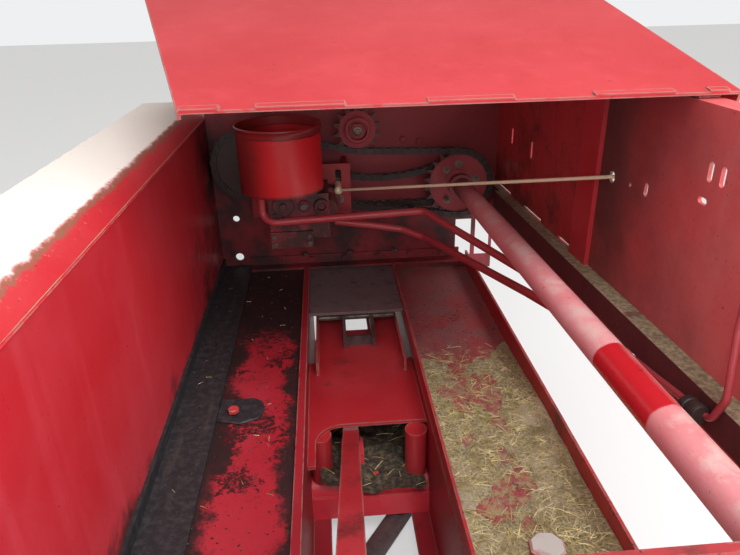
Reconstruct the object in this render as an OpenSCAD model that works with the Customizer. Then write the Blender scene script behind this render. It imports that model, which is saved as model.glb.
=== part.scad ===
// Chain drive bay of a small square baler: an open frame bay with its hood, shaft, chains and pump.
// Millimetres. X points right, Y points back through the bulkhead, Z points up.
// The origin is the centre of the four mounting holes, on the bulkhead's rear face.

/* [Bay] */
// Clear width between the side walls
bay_w = 608; // [590:2:660]
// Length of the bay, bulkhead to front plate
bay_l = 1080; // [1000:10:1300]
// Height of the floor
floor_z = -160; // [-170:1:-150]
// Height of the left ledge
ledge_z = 200; // [185:1:220]
// Height of the right wall
right_wall_z = 296; // [280:1:305]
// Sheet thickness of walls and floor
sheet = 4; // [3:0.5:5]
// Thickness of the bulkhead
bulkhead_t = 5; // [4:0.5:8]
// Width of the left ledge
ledge_w = 128; // [100:1:150]
// Depth of the ledge's lips
lip_h = 42; // [30:1:50]

/* [Mounting] */
// Spacing of the mounting holes across
mount_dx = 530; // [526:2:540]
// Spacing of the mounting holes in height
mount_dz = 90; // [80:2:96]
// Radius of the mounting holes
mount_r = 7; // [5:0.5:8]

/* [Floor] */
// Inner face of the left beam
left_beam_x = -112; // [-125:1:-105]
// Left face of the right beam
right_beam_x = 72; // [66:1:80]
// Thickness of the beams
beam_t = 12; // [8:1:14]
// Depth of the beams below the floor
beam_d = 206; // [200:1:220]
// Width of the tray
tray_w = 176; // [160:1:180]
// Height of the tray's flanges
tray_h = 34; // [25:1:40]
// Width of the wear strip beside the left wall
wear_w = 64; // [50:1:70]
// Depth of the saddle plate below the floor
saddle_drop = 50; // [40:1:60]

/* [Chain] */
// Pitch of both chains
pitch = 19.05; // [18:0.05:20]
// Width between the inner link plates
chain_gap = 12.6; // [12:0.1:13]
// Thickness of a link plate
link_t = 2.4; // [2:0.1:2.8]
// Distance of the front chain from the bulkhead's rear face
front_chain_y = 60; // [58:0.5:64]
// Distance of the rear chain from the bulkhead's rear face
rear_chain_y = 34; // [32:0.5:34]
// Teeth of the drive and driven sprockets
drive_teeth = 22; // [20:1:23]
// Teeth of the idler
idler_teeth = 14; // [12:1:15]
// Teeth of the rear sprocket on the drive shaft
rear_teeth = 15; // [14:1:16]
// Teeth of the pump sprocket
pump_teeth = 12; // [11:1:13]
// Slack of the rear chain's upper run
rear_sag = 24; // [10:1:28]

/* [Drive] */
// Drive shaft, across
shaft_x = 210; // [208:1:214]
// Drive shaft, height
shaft_z = 31; // [28:1:34]
// Outer radius of the drive tube
tube_r = 18; // [17.5:0.5:20]
// Radius of the shaft ends
journal_r = 16; // [15.5:0.5:17]
// Radius of the shaft ends behind the bulkhead
stub_r = 14.5; // [14:0.5:15]
// Length of the shaft ends behind the bulkhead
stub_l = 38; // [30:1:50]
// Radial running clearance of shafts in their bearings
running = 0.05; // [0.02:0.01:0.1]
// Rise of the shaft and the right rail towards the front, in degrees
drive_rise = 2.4; // [2:0.1:2.8]
// Driven shaft, across
driven_x = -221; // [-222:1:-216]
// Driven shaft, height
driven_z = 88; // [84:1:92]
// Idler, across
idler_x = 2; // [-4:1:8]
// Idler, height
idler_z = 149; // [146:1:152]

/* [Pump] */
// Radius of the oil can
can_r = 77; // [70:1:78]
// Height of the oil can
can_h = 120; // [110:1:126]
// Oil can, across
can_x = -147; // [-150:1:-144]
// Height of the oil can's base
can_z = 66; // [62:1:70]
// Pump shaft, across
pump_x = -62; // [-66:1:-58]
// Pump shaft, height
pump_z = 24; // [22:1:26]
// Radius of the pump shaft
pump_shaft_r = 8; // [7:0.5:9]
// Outer radius of the steel lines
line_r = 6; // [4:0.5:7]

/* [Hood] */
// Height of the hood's hinge
hinge_z = 463; // [450:1:480]
// Width of the hood at the hinge
hood_w = 736; // [720:1:760]
// Right edge of the hood
hood_right = 346; // [342:1:352]
// How far the hood's left edge comes in at its nose
hood_taper = 193; // [180:1:205]
// Length of the hood along its slope
hood_l = 712; // [700:1:720]

/* [Hidden] */
$fn = 48;

paint = "#b01e2c";
dark_paint = "#7c1722";
steel = "#4a4440";
oily = "#2c2a2a";
dust = "#8b8170";

half_w = bay_w / 2;
back_y = -bulkhead_t;
front_y = -bay_l;
run_gap = 0.3;

// Sprocket and chain rules
function pitch_r(teeth) = pitch / (2 * sin(180 / teeth));
roller_r = 0.3125 * pitch;
tooth_h = 0.27 * pitch;
sprocket_t = chain_gap - 1.6;
link_h = 0.4 * pitch;
chain_half = chain_gap / 2 + 2 * link_t;
front_y_c = -front_chain_y;
rear_y_c = -rear_chain_y;

// Wheels of each chain in running order: [x, z, pitch radius, turn (1 left, -1 right), sag after]
front_wheels = [
    [driven_x, driven_z, pitch_r(drive_teeth), 1, 0],
    [shaft_x, shaft_z, pitch_r(drive_teeth), 1, 0],
    [idler_x, idler_z, pitch_r(idler_teeth), -1, 0]
];
rear_wheels = [
    [pump_x, pump_z, pitch_r(pump_teeth), 1, 0],
    [shaft_x, shaft_z, pitch_r(rear_teeth), 1, rear_sag]
];

// Heading of the straight run from wheel a to wheel b
function run_heading(a, b) =
    let (dx = b[0] - a[0], dz = b[1] - a[1])
    atan2(dz, dx) - asin((b[3] * b[2] - a[3] * a[2]) / norm([dx, dz]));
function wrap_turn(a, from, to) = a[3] * ((a[3] * (to - from) % 360 + 360) % 360);
function rim_point(a, heading) = [a[0] + a[3] * a[2] * sin(heading), a[1] - a[3] * a[2] * cos(heading)];

// Points of a chain's pitch line: an arc on each wheel, then the run to the next wheel with its sag
arc_steps = 24;
run_steps = 16;
function wheel_arc(w, i) =
    let (
        n = len(w),
        a = w[i],
        from = run_heading(w[(i + n - 1) % n], a),
        turn = wrap_turn(a, from, run_heading(a, w[(i + 1) % n]))
    )
    [for (k = [0 : arc_steps]) rim_point(a, from + turn * k / arc_steps)];
function wheel_run(w, i) =
    let (
        b = w[(i + 1) % len(w)],
        heading = run_heading(w[i], b),
        p = rim_point(w[i], heading),
        q = rim_point(b, heading)
    )
    [for (k = [1 : run_steps - 1])
        let (t = k / run_steps)
        p + (q - p) * t + [0, -4 * w[i][4] * t * (1 - t)]];
function chain_line(w) = [for (i = [0 : len(w) - 1]) each concat(wheel_arc(w, i), wheel_run(w, i))];

// Pins at even spacing along a closed line
function step_lengths(p) = [for (i = [0 : len(p) - 1]) norm(p[(i + 1) % len(p)] - p[i])];
function running_sum(v) =
    [for (i = 0, total = 0; i <= len(v); total = total + (i < len(v) ? v[i] : 0), i = i + 1) total];
function point_at(p, sums, s) =
    let (
        i = max([for (k = [0 : len(p) - 1]) sums[k] <= s ? k : 0]),
        t = (s - sums[i]) / (sums[i + 1] - sums[i])
    )
    p[i] + (p[(i + 1) % len(p)] - p[i]) * t;
function chain_pins(w) =
    let (
        p = chain_line(w),
        sums = running_sum(step_lengths(p)),
        total = sums[len(p)],
        count = 2 * round(total / (2 * pitch))
    )
    [for (k = [0 : count - 1]) point_at(p, sums, total * k / count)];

// Leans the drive, so that its shafts rise towards the front
module leaned() {
    translate([0, front_y_c, shaft_z]) rotate([-drive_rise, 0, 0])
        translate([0, -front_y_c, -shaft_z]) children();
}

// Sheet standing in the Y and Z plane, from x to the right
module side_sheet(x, thickness, outline) {
    translate([x, 0, 0]) rotate([90, 0, 90]) linear_extrude(thickness) polygon(outline);
}

// Puts a flat shape drawn in X and Z into the part, centred on y
module upright(y, thickness) {
    translate([0, y + thickness / 2, 0]) rotate([90, 0, 0]) linear_extrude(thickness) children();
}

// Cylinder along Y from y0 towards the front
module bar_y(x, z, y0, length, r) {
    translate([x, y0, z]) rotate([90, 0, 0]) cylinder(h = length, r = r);
}

// Plate between two corners
module block(low, high) {
    translate(low) cube(high - low);
}

// One link plate of half height h between two pins
module link_plate(p, q, h) {
    length = norm(q - p);
    translate(p) rotate(atan2(q[1] - p[1], q[0] - p[0])) polygon([
        [-h, 0], [-h / 2, h], [length + h / 2, h],
        [length + h, 0], [length + h / 2, -h], [-h / 2, -h]
    ]);
}

// A whole chain: inner and outer links in turn, with rollers where no sprocket tooth passes
module chain(wheels, y) {
    pins = chain_pins(wheels);
    n = len(pins);
    overlap = 0.1;
    for (side = [-1, 1]) {
        for (i = [0 : n - 1]) {
            layer = i % 2;
            offset_y = side * (chain_gap / 2 + link_t * (layer + 0.5));
            upright(y + offset_y, link_t + overlap) link_plate(pins[i], pins[(i + 1) % n], link_h * (1 - 0.13 * layer));
        }
    }
    for (i = [0 : n - 1]) {
        gaps = [for (w = wheels) norm(pins[i] - [w[0], w[1]]) - w[2] - tooth_h - roller_r];
        if (min(gaps) > 1) {
            bar_y(pins[i][0], pins[i][1], y + chain_half + 1, 2 * chain_half + 2, roller_r, $fn = 6);
        }
    }
}

// Toothed outline of a sprocket
module sprocket_outline(teeth) {
    root = pitch_r(teeth) - roller_r;
    tip = pitch_r(teeth) + tooth_h;
    step = 360 / teeth;
    // Each tooth: [radius, share of the step]
    tooth = [[root, 0], [root, 0.24], [tip - 2, 0.41], [tip, 0.46], [tip, 0.54], [tip - 2, 0.59], [root, 0.76]];
    polygon([for (i = [0 : teeth - 1], t = tooth)
        t[0] * [cos((i + t[1]) * step), sin((i + t[1]) * step)]]);
}

// Toothed plate on a shaft, with a bored hub
module sprocket(x, z, y, teeth, bore, hub_r, hub_l) {
    difference() {
        union() {
            upright(y, sprocket_t) translate([x, z]) sprocket_outline(teeth);
            bar_y(x, z, y + hub_l / 2, hub_l, hub_r);
        }
        bar_y(x, z, y + hub_l, 2 * hub_l, bore);
    }
}

// Corner b of a path, bent from cut before it to cut after it
bend_steps = 5;
function unit(v) = v / norm(v);
function bend(a, b, c, cut) =
    let (
        p = b + unit(a - b) * min(cut, 0.48 * norm(a - b)),
        q = b + unit(c - b) * min(cut, 0.48 * norm(c - b))
    )
    [for (k = [0 : bend_steps])
        let (t = k / bend_steps)
        p * pow(1 - t, 2) + b * 2 * t * (1 - t) + q * t * t];
function bent_path(p, cut) =
    [p[0], for (i = [1 : len(p) - 2]) each bend(p[i - 1], p[i], p[i + 1], cut), p[len(p) - 1]];

// Bent steel line through its points
line_sides = 14;
module steel_line(points, cut = 22) {
    path = bent_path(points, cut);
    n = len(path);
    // A direction that none of the lines runs along
    reference = [1, 1, 1];
    rings = [for (i = [0 : n - 1])
        let (
            ahead = unit(path[min(i + 1, n - 1)] - path[max(i - 1, 0)]),
            side = unit(cross(ahead, reference)),
            up = cross(side, ahead)
        )
        for (k = [0 : line_sides - 1])
            path[i] + line_r * (cos(k * 360 / line_sides) * side + sin(k * 360 / line_sides) * up)];
    walls = [for (i = [0 : n - 2], k = [0 : line_sides - 1])
        let (a = i * line_sides + k, b = i * line_sides + (k + 1) % line_sides)
        [a, b, b + line_sides, a + line_sides]];
    polyhedron(rings, concat(
        [[for (k = [line_sides - 1 : -1 : 0]) k]],
        walls,
        [[for (k = [0 : line_sides - 1]) (n - 1) * line_sides + k]]
    ));
}

// Side walls and ledge

module left_wall() {
    color(paint) block([-half_w - sheet, front_y, floor_z - sheet], [-half_w, back_y, ledge_z - sheet]);
}

module left_ledge() {
    outer = -half_w - ledge_w;
    color(paint) {
        block([outer, front_y, ledge_z - sheet], [-half_w + sheet, back_y, ledge_z]);
        block([-half_w, front_y, ledge_z - lip_h], [-half_w + sheet, back_y, ledge_z]);
        block([outer, front_y, ledge_z - lip_h], [outer + sheet, back_y, ledge_z]);
    }
}

gusset_count = 4;
module ledge_gussets() {
    depth = ledge_w - 2 * sheet;
    color(dark_paint)
    for (i = [0 : gusset_count - 1]) {
        y = front_y + 60 + i * (bay_l - 120) / (gusset_count - 1);
        translate([-half_w - sheet, y, ledge_z - sheet])
            rotate([90, 0, 0]) linear_extrude(5)
            polygon([[0, 0], [-depth, 0], [-depth, -lip_h / 2], [0, -depth - lip_h / 2]]);
    }
}

window_w = 84;
window_top = -70;
inspection_r = 9;
module bulkhead() {
    top = hinge_z - hinge_r - 4;
    window_x = half_w - window_w;
    color(paint) difference() {
        block([-half_w, -bulkhead_t, floor_z - 30], [half_w, 0, top]);
        for (x = [-mount_dx / 2, mount_dx / 2], z = [-mount_dz / 2, mount_dz / 2]) {
            bar_y(x, z, 1, bulkhead_t + 2, mount_r);
        }
        leaned() for (p = [[shaft_x, shaft_z], [driven_x, driven_z]]) {
            bar_y(p[0], p[1], 10, bulkhead_t + 20, journal_r + 3);
        }
        block([window_x, -bulkhead_t - 1, floor_z + 2], [window_x + 36, 1, window_top]);
        block([window_x + 45, -bulkhead_t - 1, floor_z + 2], [half_w - 6, 1, window_top]);
        bar_y(-half_w + 37, -135, 1, bulkhead_t + 2, inspection_r);
    }
}

module bulkhead_angle() {
    color(dark_paint) {
        block([-half_w + wear_w, back_y - 30, floor_z], [right_beam_x + tray_w - 20, back_y, floor_z + 5]);
        block([-half_w + wear_w, back_y - 5, floor_z], [right_beam_x + tray_w - 20, back_y, floor_z + 24]);
        for (i = [0 : 5]) {
            bar_y(-180 + i * 74, floor_z + 15, back_y - 5, 6, 7, $fn = 6);
        }
    }
}

post_y0 = -455;
post_w = 60;
rail_w = 22;
rail_z = 14;
rail_t = 4;
function rail_top(y) = rail_z + (back_y - y) * tan(drive_rise);

module right_panel_rear() {
    y1 = post_y0 - post_w / 2;
    foot = 5;
    color(paint) difference() {
        side_sheet(half_w, sheet, [
            [y1, rail_top(y1) - 18], [back_y, rail_top(back_y) - 18],
            [back_y, right_wall_z - sheet], [y1, right_wall_z - sheet]
        ]);
        // Slits above the rail: [start, end]
        for (s = [[-126, -37], [-310, -212], [-454, -394]]) {
            side_sheet(half_w - 1, sheet + 2, [
                [s[0], rail_top(s[0]) + 1], [s[1], rail_top(s[1]) + 1],
                [s[1], rail_top(s[1]) + foot], [s[0], rail_top(s[0]) + foot]
            ]);
        }
        for (y = [-110, -230]) {
            block([half_w - 1, y - 4, 120], [half_w + sheet + 1, y + 4, 150]);
        }
    }
}

flange_w = 28;
module right_panel_front() {
    y1 = post_y0 - post_w / 2;
    z0 = rail_top(front_y) - 18;
    color(paint) difference() {
        union() {
            side_sheet(half_w, sheet, [
                [front_y, z0], [y1, rail_top(y1) - 18], [y1, right_wall_z - sheet], [front_y, right_wall_z - sheet]
            ]);
            block([half_w, front_y, right_wall_z - sheet], [half_w + flange_w, back_y, right_wall_z]);
        }
        // Bolt hole and slots: [y, z, radius, half length along, half length up]
        for (h = [[-601, 179, 3, 0, 0], [-639, 184, 4, 0, 4], [-747, 205, 3.5, 4, 0],
                  [-751, 235, 4, 0, 6], [-771, 235, 4, 0, 6]]) {
            side_sheet(half_w - 1, sheet + 2, [for (k = [0 : 15]) let (a = (k + 0.5) * 22.5) [
                h[0] + h[2] * cos(a) + h[3] * sign(cos(a)), h[1] + h[2] * sin(a) + h[4] * sign(sin(a))
            ]]);
        }
        translate([half_w - 1, rod_end[1], rod_end[2]]) rotate([0, 90, 0]) cylinder(h = sheet + 2, r = rod_r + 5);
    }
}

module wall_post() {
    y1 = post_y0 - post_w;
    color(paint) side_sheet(half_w - 6, 6, [
        [y1, rail_top(y1)], [post_y0, rail_top(post_y0)],
        [post_y0, right_wall_z - sheet], [y1, right_wall_z - sheet]
    ]);
}

module rail() {
    x = half_w - rail_w;
    difference() {
        union() {
            color(dust) side_sheet(x, rail_w, [
                [front_y, rail_top(front_y) - rail_t], [back_y, rail_z - rail_t],
                [back_y, rail_z], [front_y, rail_top(front_y)]
            ]);
            color(dark_paint) side_sheet(x, 4, [
                [front_y, rail_top(front_y) - 34], [back_y, rail_z - 34],
                [back_y, rail_z - rail_t], [front_y, rail_top(front_y) - rail_t]
            ]);
        }
        // Room for the chains
        block([x - 1, front_y_c - 24, rail_z - 40], [x + 10, back_y + 1, rail_z + 10]);
    }
}

sill_d = 84;
module side_sill() {
    x = half_w - rail_w + 4;
    color(dark_paint) difference() {
        side_sheet(x, 8, [
            [front_y, rail_top(front_y) - sill_d], [back_y, rail_z - sill_d],
            [back_y, rail_z - rail_t], [front_y, rail_top(front_y) - rail_t]
        ]);
        block([x - 1, -760, -20], [x + 9, -690, 16]);
    }
}

// Floor

module left_floor() {
    color(paint) block([-half_w, front_y, floor_z - sheet], [left_beam_x - beam_t, back_y, floor_z]);
}

module wear_strip() {
    color(oily) {
        block([-half_w, front_y, floor_z], [-half_w + wear_w, back_y, floor_z + 5]);
        block([-half_w, front_y, floor_z], [-half_w + 5, back_y, floor_z + 22]);
    }
}

beam_flange = 28;
flange_t = 6;
module left_beam() {
    z0 = floor_z - beam_d;
    color(paint) {
        block([left_beam_x - beam_t, front_y, z0], [left_beam_x, back_y, floor_z]);
        block([left_beam_x - beam_t, front_y, floor_z - 1], [left_beam_x, back_y - 31, floor_z + 6]);
        block([left_beam_x, front_y, z0], [left_beam_x + beam_flange, back_y, z0 + flange_t]);
    }
}

tray_z = floor_z - 28;
module right_beam() {
    z0 = floor_z - beam_d;
    color(dark_paint) {
        block([right_beam_x, front_y, z0], [right_beam_x + beam_t, back_y, tray_z]);
        block([right_beam_x - beam_flange, front_y, z0], [right_beam_x, back_y, z0 + flange_t]);
    }
}

module tray() {
    x1 = right_beam_x + tray_w;
    color(paint) {
        block([right_beam_x, front_y, tray_z], [x1, back_y, tray_z + sheet]);
        block([right_beam_x, front_y, tray_z], [right_beam_x + sheet, back_y - 31, tray_z + tray_h]);
        block([x1 - sheet, front_y, tray_z], [x1, back_y, tray_z + tray_h + 8]);
    }
}

cross_plate_l = 235;
module cross_plate() {
    color(oily) block([left_beam_x, back_y - cross_plate_l, floor_z - 10], [right_beam_x, back_y, floor_z - 4]);
}

saddle_z = floor_z - saddle_drop;
saddle_t = 6;
saddle_front = -525;
arch_r = 42;
arch_l = 90;
arch_strip = 12;
slot_y0 = -345;
slot_y1 = -130;
slot_w = 13;
module saddle() {
    x0 = left_beam_x;
    x1 = right_beam_x;
    color(paint) difference() {
        union() {
            block([x0, saddle_front, saddle_z - saddle_t], [x1, back_y, saddle_z]);
            block([x0, saddle_front - arch_l, saddle_z - saddle_t], [x0 + arch_r + arch_strip, saddle_front, saddle_z]);
            for (x = [x0 + slot_w, x1 - slot_w - 4]) {
                block([x, slot_y0 - 40, saddle_z], [x + 4, slot_y1 + 4, saddle_z + 24]);
            }
        }
        for (x = [x0 - 1, x1 - slot_w]) {
            block([x, slot_y0, saddle_z - saddle_t - 1], [x + slot_w + 1, slot_y1, saddle_z + 1]);
        }
        block([clevis_x - 24, -232, saddle_z - saddle_t - 1], [clevis_x + 20, -128, saddle_z + 1]);
        translate([x0 + arch_r + arch_strip, saddle_front - arch_r, saddle_z - saddle_t - 1])
            cylinder(h = saddle_t + 2, r = arch_r);
        block([x0 + arch_strip, saddle_front - arch_l - 1, saddle_z - saddle_t - 1],
              [x0 + arch_r + arch_strip + 1, saddle_front - arch_r, saddle_z + 1]);
    }
}

clevis_x = -18;
clevis_w = 60;
clevis_h = 38;
module clevis() {
    plate = 6;
    color(oily) difference() {
        union() {
            for (x = [clevis_x - clevis_w / 2, clevis_x + clevis_w / 2 - plate]) {
                side_sheet(x, plate, [
                    [-300, saddle_z], [-112, saddle_z], [-112, saddle_z + clevis_h], [-240, saddle_z + clevis_h],
                    [-300, saddle_z + clevis_h / 2]
                ]);
            }
            block([clevis_x - clevis_w / 2 + plate, -290, saddle_z],
                  [clevis_x + clevis_w / 2 - plate, -284, saddle_z + clevis_h / 2]);
        }
        translate([clevis_x - clevis_w, pin_y, pin_z]) rotate([0, 90, 0]) cylinder(h = 2 * clevis_w, r = pin_r);
    }
}

pin_y = -212;
pin_z = saddle_z + 20;
pin_r = 6;
module cross_pin() {
    x0 = left_beam_x + slot_w + 4;
    color(steel) translate([x0, pin_y, pin_z]) rotate([0, 90, 0])
        cylinder(h = right_beam_x - slot_w - 4 - x0, r = pin_r);
}

post_r = 17;
post_y = -540;
tube_cross_r = 22;
angle_gap = 13;
tube_cross_z = floor_z - beam_d + 2 * flange_t + angle_gap + tube_cross_r;
module posts() {
    z0 = tube_cross_z + tube_cross_r - 2;
    color(paint) for (x = [left_beam_x + post_r + 1, right_beam_x - post_r - 1]) {
        translate([x, post_y, z0]) cylinder(h = saddle_z - saddle_t - z0, r = post_r);
    }
}

brace_w = 24;
brace_h = 30;
brace_far = [-45, -475, -262];
brace_near = [-62, front_y, 52];
module cross_tube() {
    flat_z = tube_cross_z + tube_cross_r - 2;
    lug_y = -510;
    color(paint) difference() {
        union() {
            translate([left_beam_x, post_y, tube_cross_z]) rotate([0, 90, 0])
                cylinder(h = right_beam_x - left_beam_x, r = tube_cross_r);
            block([brace_far[0] - brace_w / 2 - 6, lug_y - 20, tube_cross_z],
                  [brace_far[0] + brace_w / 2 + 6, lug_y + 20, brace_far[2] - 4]);
        }
        // Flats under the posts
        for (x = [left_beam_x - 1, right_beam_x - 2 * post_r - 3]) {
            block([x, post_y - 30, flat_z], [x + 2 * post_r + 4, post_y + 30, flat_z + 30]);
        }
        brace_bar(2);
    }
}

// The brace's bar, drawn larger by clearance on each side
module brace_bar(clearance) {
    d = brace_near - brace_far;
    translate(brace_far) rotate([0, 0, atan2(d[1], d[0])])
        rotate([0, -atan2(d[2], norm([d[0], d[1]])), 0])
        translate([-clearance, -brace_w / 2 - clearance, -brace_h / 2 - clearance])
        cube([norm(d) + 30, brace_w + 2 * clearance, brace_h + 2 * clearance]);
}

module brace() {
    color(paint) difference() {
        brace_bar(0);
        block([brace_near[0] - 40, front_y - 60, 0], [brace_near[0] + 40, front_y, 120]);
    }
}

web_h = 42;
web_y = post_y - 28;
web_w = 60;
module cross_angle() {
    z0 = floor_z - beam_d + flange_t;
    x0 = left_beam_x;
    x1 = right_beam_x;
    color(dark_paint) {
        block([x0, web_y, z0], [x1, web_y + flange_t, z0 + web_h]);
        block([x0, web_y, z0], [x1, web_y + web_w, z0 + flange_t]);
    }
}

lower_shaft_r = 17;
module lower_shaft() {
    z = floor_z - beam_d - lower_shaft_r;
    color(oily) translate([63, -495, z]) rotate([90, 0, -34.5]) cylinder(h = 330, r = lower_shaft_r);
}

front_t = 6;
module front_plate() {
    color(dark_paint) difference() {
        block([-half_w, front_y - front_t, floor_z - beam_d], [half_w, front_y, 130]);
        leaned() bar_y(shaft_x, shaft_z, front_y + 20, 60, tube_r + 8);
        for (x = [[-264, -120], [-20, 130]]) {
            block([x[0], front_y - front_t - 1, floor_z + 50], [x[1], front_y + 1, 80]);
        }
    }
}

// Flange bearing in line with the leaned shafts, its base cut flush with the plate's face at y
flange_r = 44;
bearing_t = 18;
module flange_bearing(x, z, y, bore) {
    wall = 9;
    difference() {
        leaned() difference() {
            union() {
                bar_y(x, z, y + 4, 12, flange_r);
                bar_y(x, z, y + 4, bearing_t + 4, bore + wall);
            }
            bar_y(x, z, y + 10, bearing_t + 20, bore);
        }
        block([x - flange_r - 1, y, z - 2 * flange_r], [x + flange_r + 1, y + 30, z + 3 * flange_r]);
    }
}

module front_bearing() {
    color(steel) flange_bearing(shaft_x, shaft_z, front_y - front_t, tube_r + running);
}

module rear_bearing() {
    color(steel) flange_bearing(shaft_x, shaft_z, back_y, journal_r + running);
}

module knotter_bearing() {
    color(steel) flange_bearing(driven_x, driven_z, back_y, journal_r + running);
}

// Drive

collar_r = 24;
tube_y = front_y_c - 34;
tube_end = 40;

// Shaft from y to a stepped end behind the bulkhead
module shaft(x, z, y) {
    step = 2;
    bar_y(x, z, step, step - y, journal_r);
    bar_y(x, z, step + stub_l, stub_l, stub_r);
}

module drive_tube() {
    color(paint) leaned() difference() {
        union() {
            bar_y(shaft_x, shaft_z, tube_y, bay_l + tube_y + tube_end, tube_r);
            bar_y(shaft_x, shaft_z, tube_y + 16, 16, collar_r);
            shaft(shaft_x, shaft_z, tube_y);
        }
        bar_y(shaft_x, shaft_z, front_y, tube_end + 1, journal_r);
    }
}

module drive_sprocket() {
    color(dark_paint) leaned() sprocket(shaft_x, shaft_z, front_y_c, drive_teeth, journal_r, 30, 22);
}

module rear_sprocket() {
    color(steel) leaned() sprocket(shaft_x, shaft_z, rear_y_c, rear_teeth, journal_r, 26, sprocket_t + 2);
}

module driven_sprocket() {
    color(dark_paint) leaned() {
        sprocket(driven_x, driven_z, front_y_c, drive_teeth, journal_r, 30, 22);
        shaft(driven_x, driven_z, front_y_c - 12);
    }
}

idler_bore = 10;
idler_hub_l = 18;
module idler_sprocket() {
    color(dark_paint) leaned()
        sprocket(idler_x, idler_z, front_y_c, idler_teeth, idler_bore + running, 18, idler_hub_l);
}

module idler_stand() {
    side_play = 1;
    hub_back = front_y_c + idler_hub_l / 2 + side_play;
    hub_front = front_y_c - idler_hub_l / 2 - side_play;
    color(dark_paint) {
        block([idler_x - 22, back_y - 8, idler_z - 20], [idler_x + 22, back_y, idler_z + 70]);
        difference() {
            leaned() {
                bar_y(idler_x, idler_z, 0, -hub_back, 15);
                bar_y(idler_x, idler_z, 0, -hub_front + 4, idler_bore);
                bar_y(idler_x, idler_z, hub_front, 8, 15, $fn = 6);
            }
            block([idler_x - 30, back_y - 8, idler_z - 30], [idler_x + 30, 30, idler_z + 30]);
        }
    }
}

module pump_sprocket() {
    color(steel) leaned() {
        sprocket(pump_x, pump_z, rear_y_c, pump_teeth, pump_shaft_r, 18, 16);
        bar_y(pump_x, pump_z, rear_y_c + 8, 80, pump_shaft_r);
    }
}

module front_chain() {
    color(oily) leaned() chain(front_wheels, front_y_c);
}

module rear_chain() {
    color(oily) leaned() chain(rear_wheels, rear_y_c);
}

// Pump and oil can

bracket_y = -84;
bracket_t = 6;
bracket_z = -16;
can_y = bracket_y - can_r - run_gap;
module oil_can() {
    color(paint) translate([can_x, can_y, can_z]) difference() {
        union() {
            cylinder(h = can_h, r = can_r, $fn = 96);
            translate([0, 0, can_h - 12]) cylinder(h = 12, r = can_r + 0.2, $fn = 96);
        }
        translate([0, 0, 3]) cylinder(h = can_h, r = can_r - 2, $fn = 96);
    }
}

module pump_bracket() {
    right = pump_x + 46;
    color(dark_paint) {
        difference() {
            block([can_x - 70, bracket_y, bracket_z], [right, bracket_y + bracket_t, bracket_z + 104]);
            block([pump_x + 16, bracket_y - 1, bracket_z + 66],
                  [pump_x + 28, bracket_y + bracket_t + 1, bracket_z + 92]);
            leaned() bar_y(pump_x, pump_z, bracket_y + bracket_t + 10, bracket_t + 20, pump_shaft_r + 3);
        }
        for (p = [[-125, 78], [right - 10, 78]]) {
            bar_y(p[0], p[1], back_y, -bracket_y + back_y - bracket_t, 7);
        }
        block([can_x - 50, bracket_y - 110, can_z - 5], [can_x + 50, bracket_y, can_z]);
    }
}

module pump_body() {
    z1 = can_z - 5;
    color(dark_paint) difference() {
        union() {
            bar_y(pump_x, pump_z, bracket_y, 30, 24);
            bar_y(pump_x, pump_z, bracket_y, 84, 16.5);
            block([can_x - 28, bracket_y - 96, -30], [pump_x, bracket_y, z1 - 4]);
            block([can_x - 28, bracket_y - 104, -46], [can_x + 52, bracket_y - 20, -14]);
            bar_y(can_x - 16, 8, bracket_y - 30, 72, 14);
        }
        leaned() bar_y(pump_x, pump_z, bracket_y + 10, 60, pump_shaft_r + running);
    }
}

// The line's way: down from the can's shelf, past the pump and under the drive tube to the sill
module pressure_line() {
    x = half_w - rail_w + 4;
    color(paint) steel_line([
        [can_x - 40, -188, can_z - 5], [can_x - 40, -188, 18], [can_x - 20, -204, 12],
        [115, -204, 22], [x - 16, -487, -15], [x, -487, -15]
    ]);
}

// The line's way: from the pump under the drive tube, along the sill and up to the right wall
module return_line() {
    x = half_w - rail_w - line_r - run_gap;
    color(paint) steel_line([
        [pump_x + 10, -144, -12], [21, -146, -23], [80, -152, -32], [122, -180, -41], [232, -480, -22],
        [x, -698, 7], [x, -775, 20], [x, -870, 37], [x, -876, 64], [288, -860, 125],
        [290, -852, 186], [half_w, -852, 186]
    ]);
    color(oily) translate([x - 4.5, -850, 34]) rotate([80, 0, 0]) cylinder(h = 26, r = 10, center = true);
}

rod_r = 2.5;
rod_start = [pump_x + 20, bracket_y - 46, 47];
rod_end = [half_w, -551, 175];
module control_rod() {
    d = rod_end - rod_start;
    tail = 8;
    color("#c9b88a") {
        translate(rod_start) rotate([0, acos(d[2] / norm(d)), atan2(d[1], d[0])])
            cylinder(h = norm(d) + tail, r = rod_r);
        bar_y(rod_start[0], rod_start[2], bracket_y, bracket_y - rod_start[1], 6);
        translate(rod_start) sphere(r = 8);
    }
}

// Hood

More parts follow.
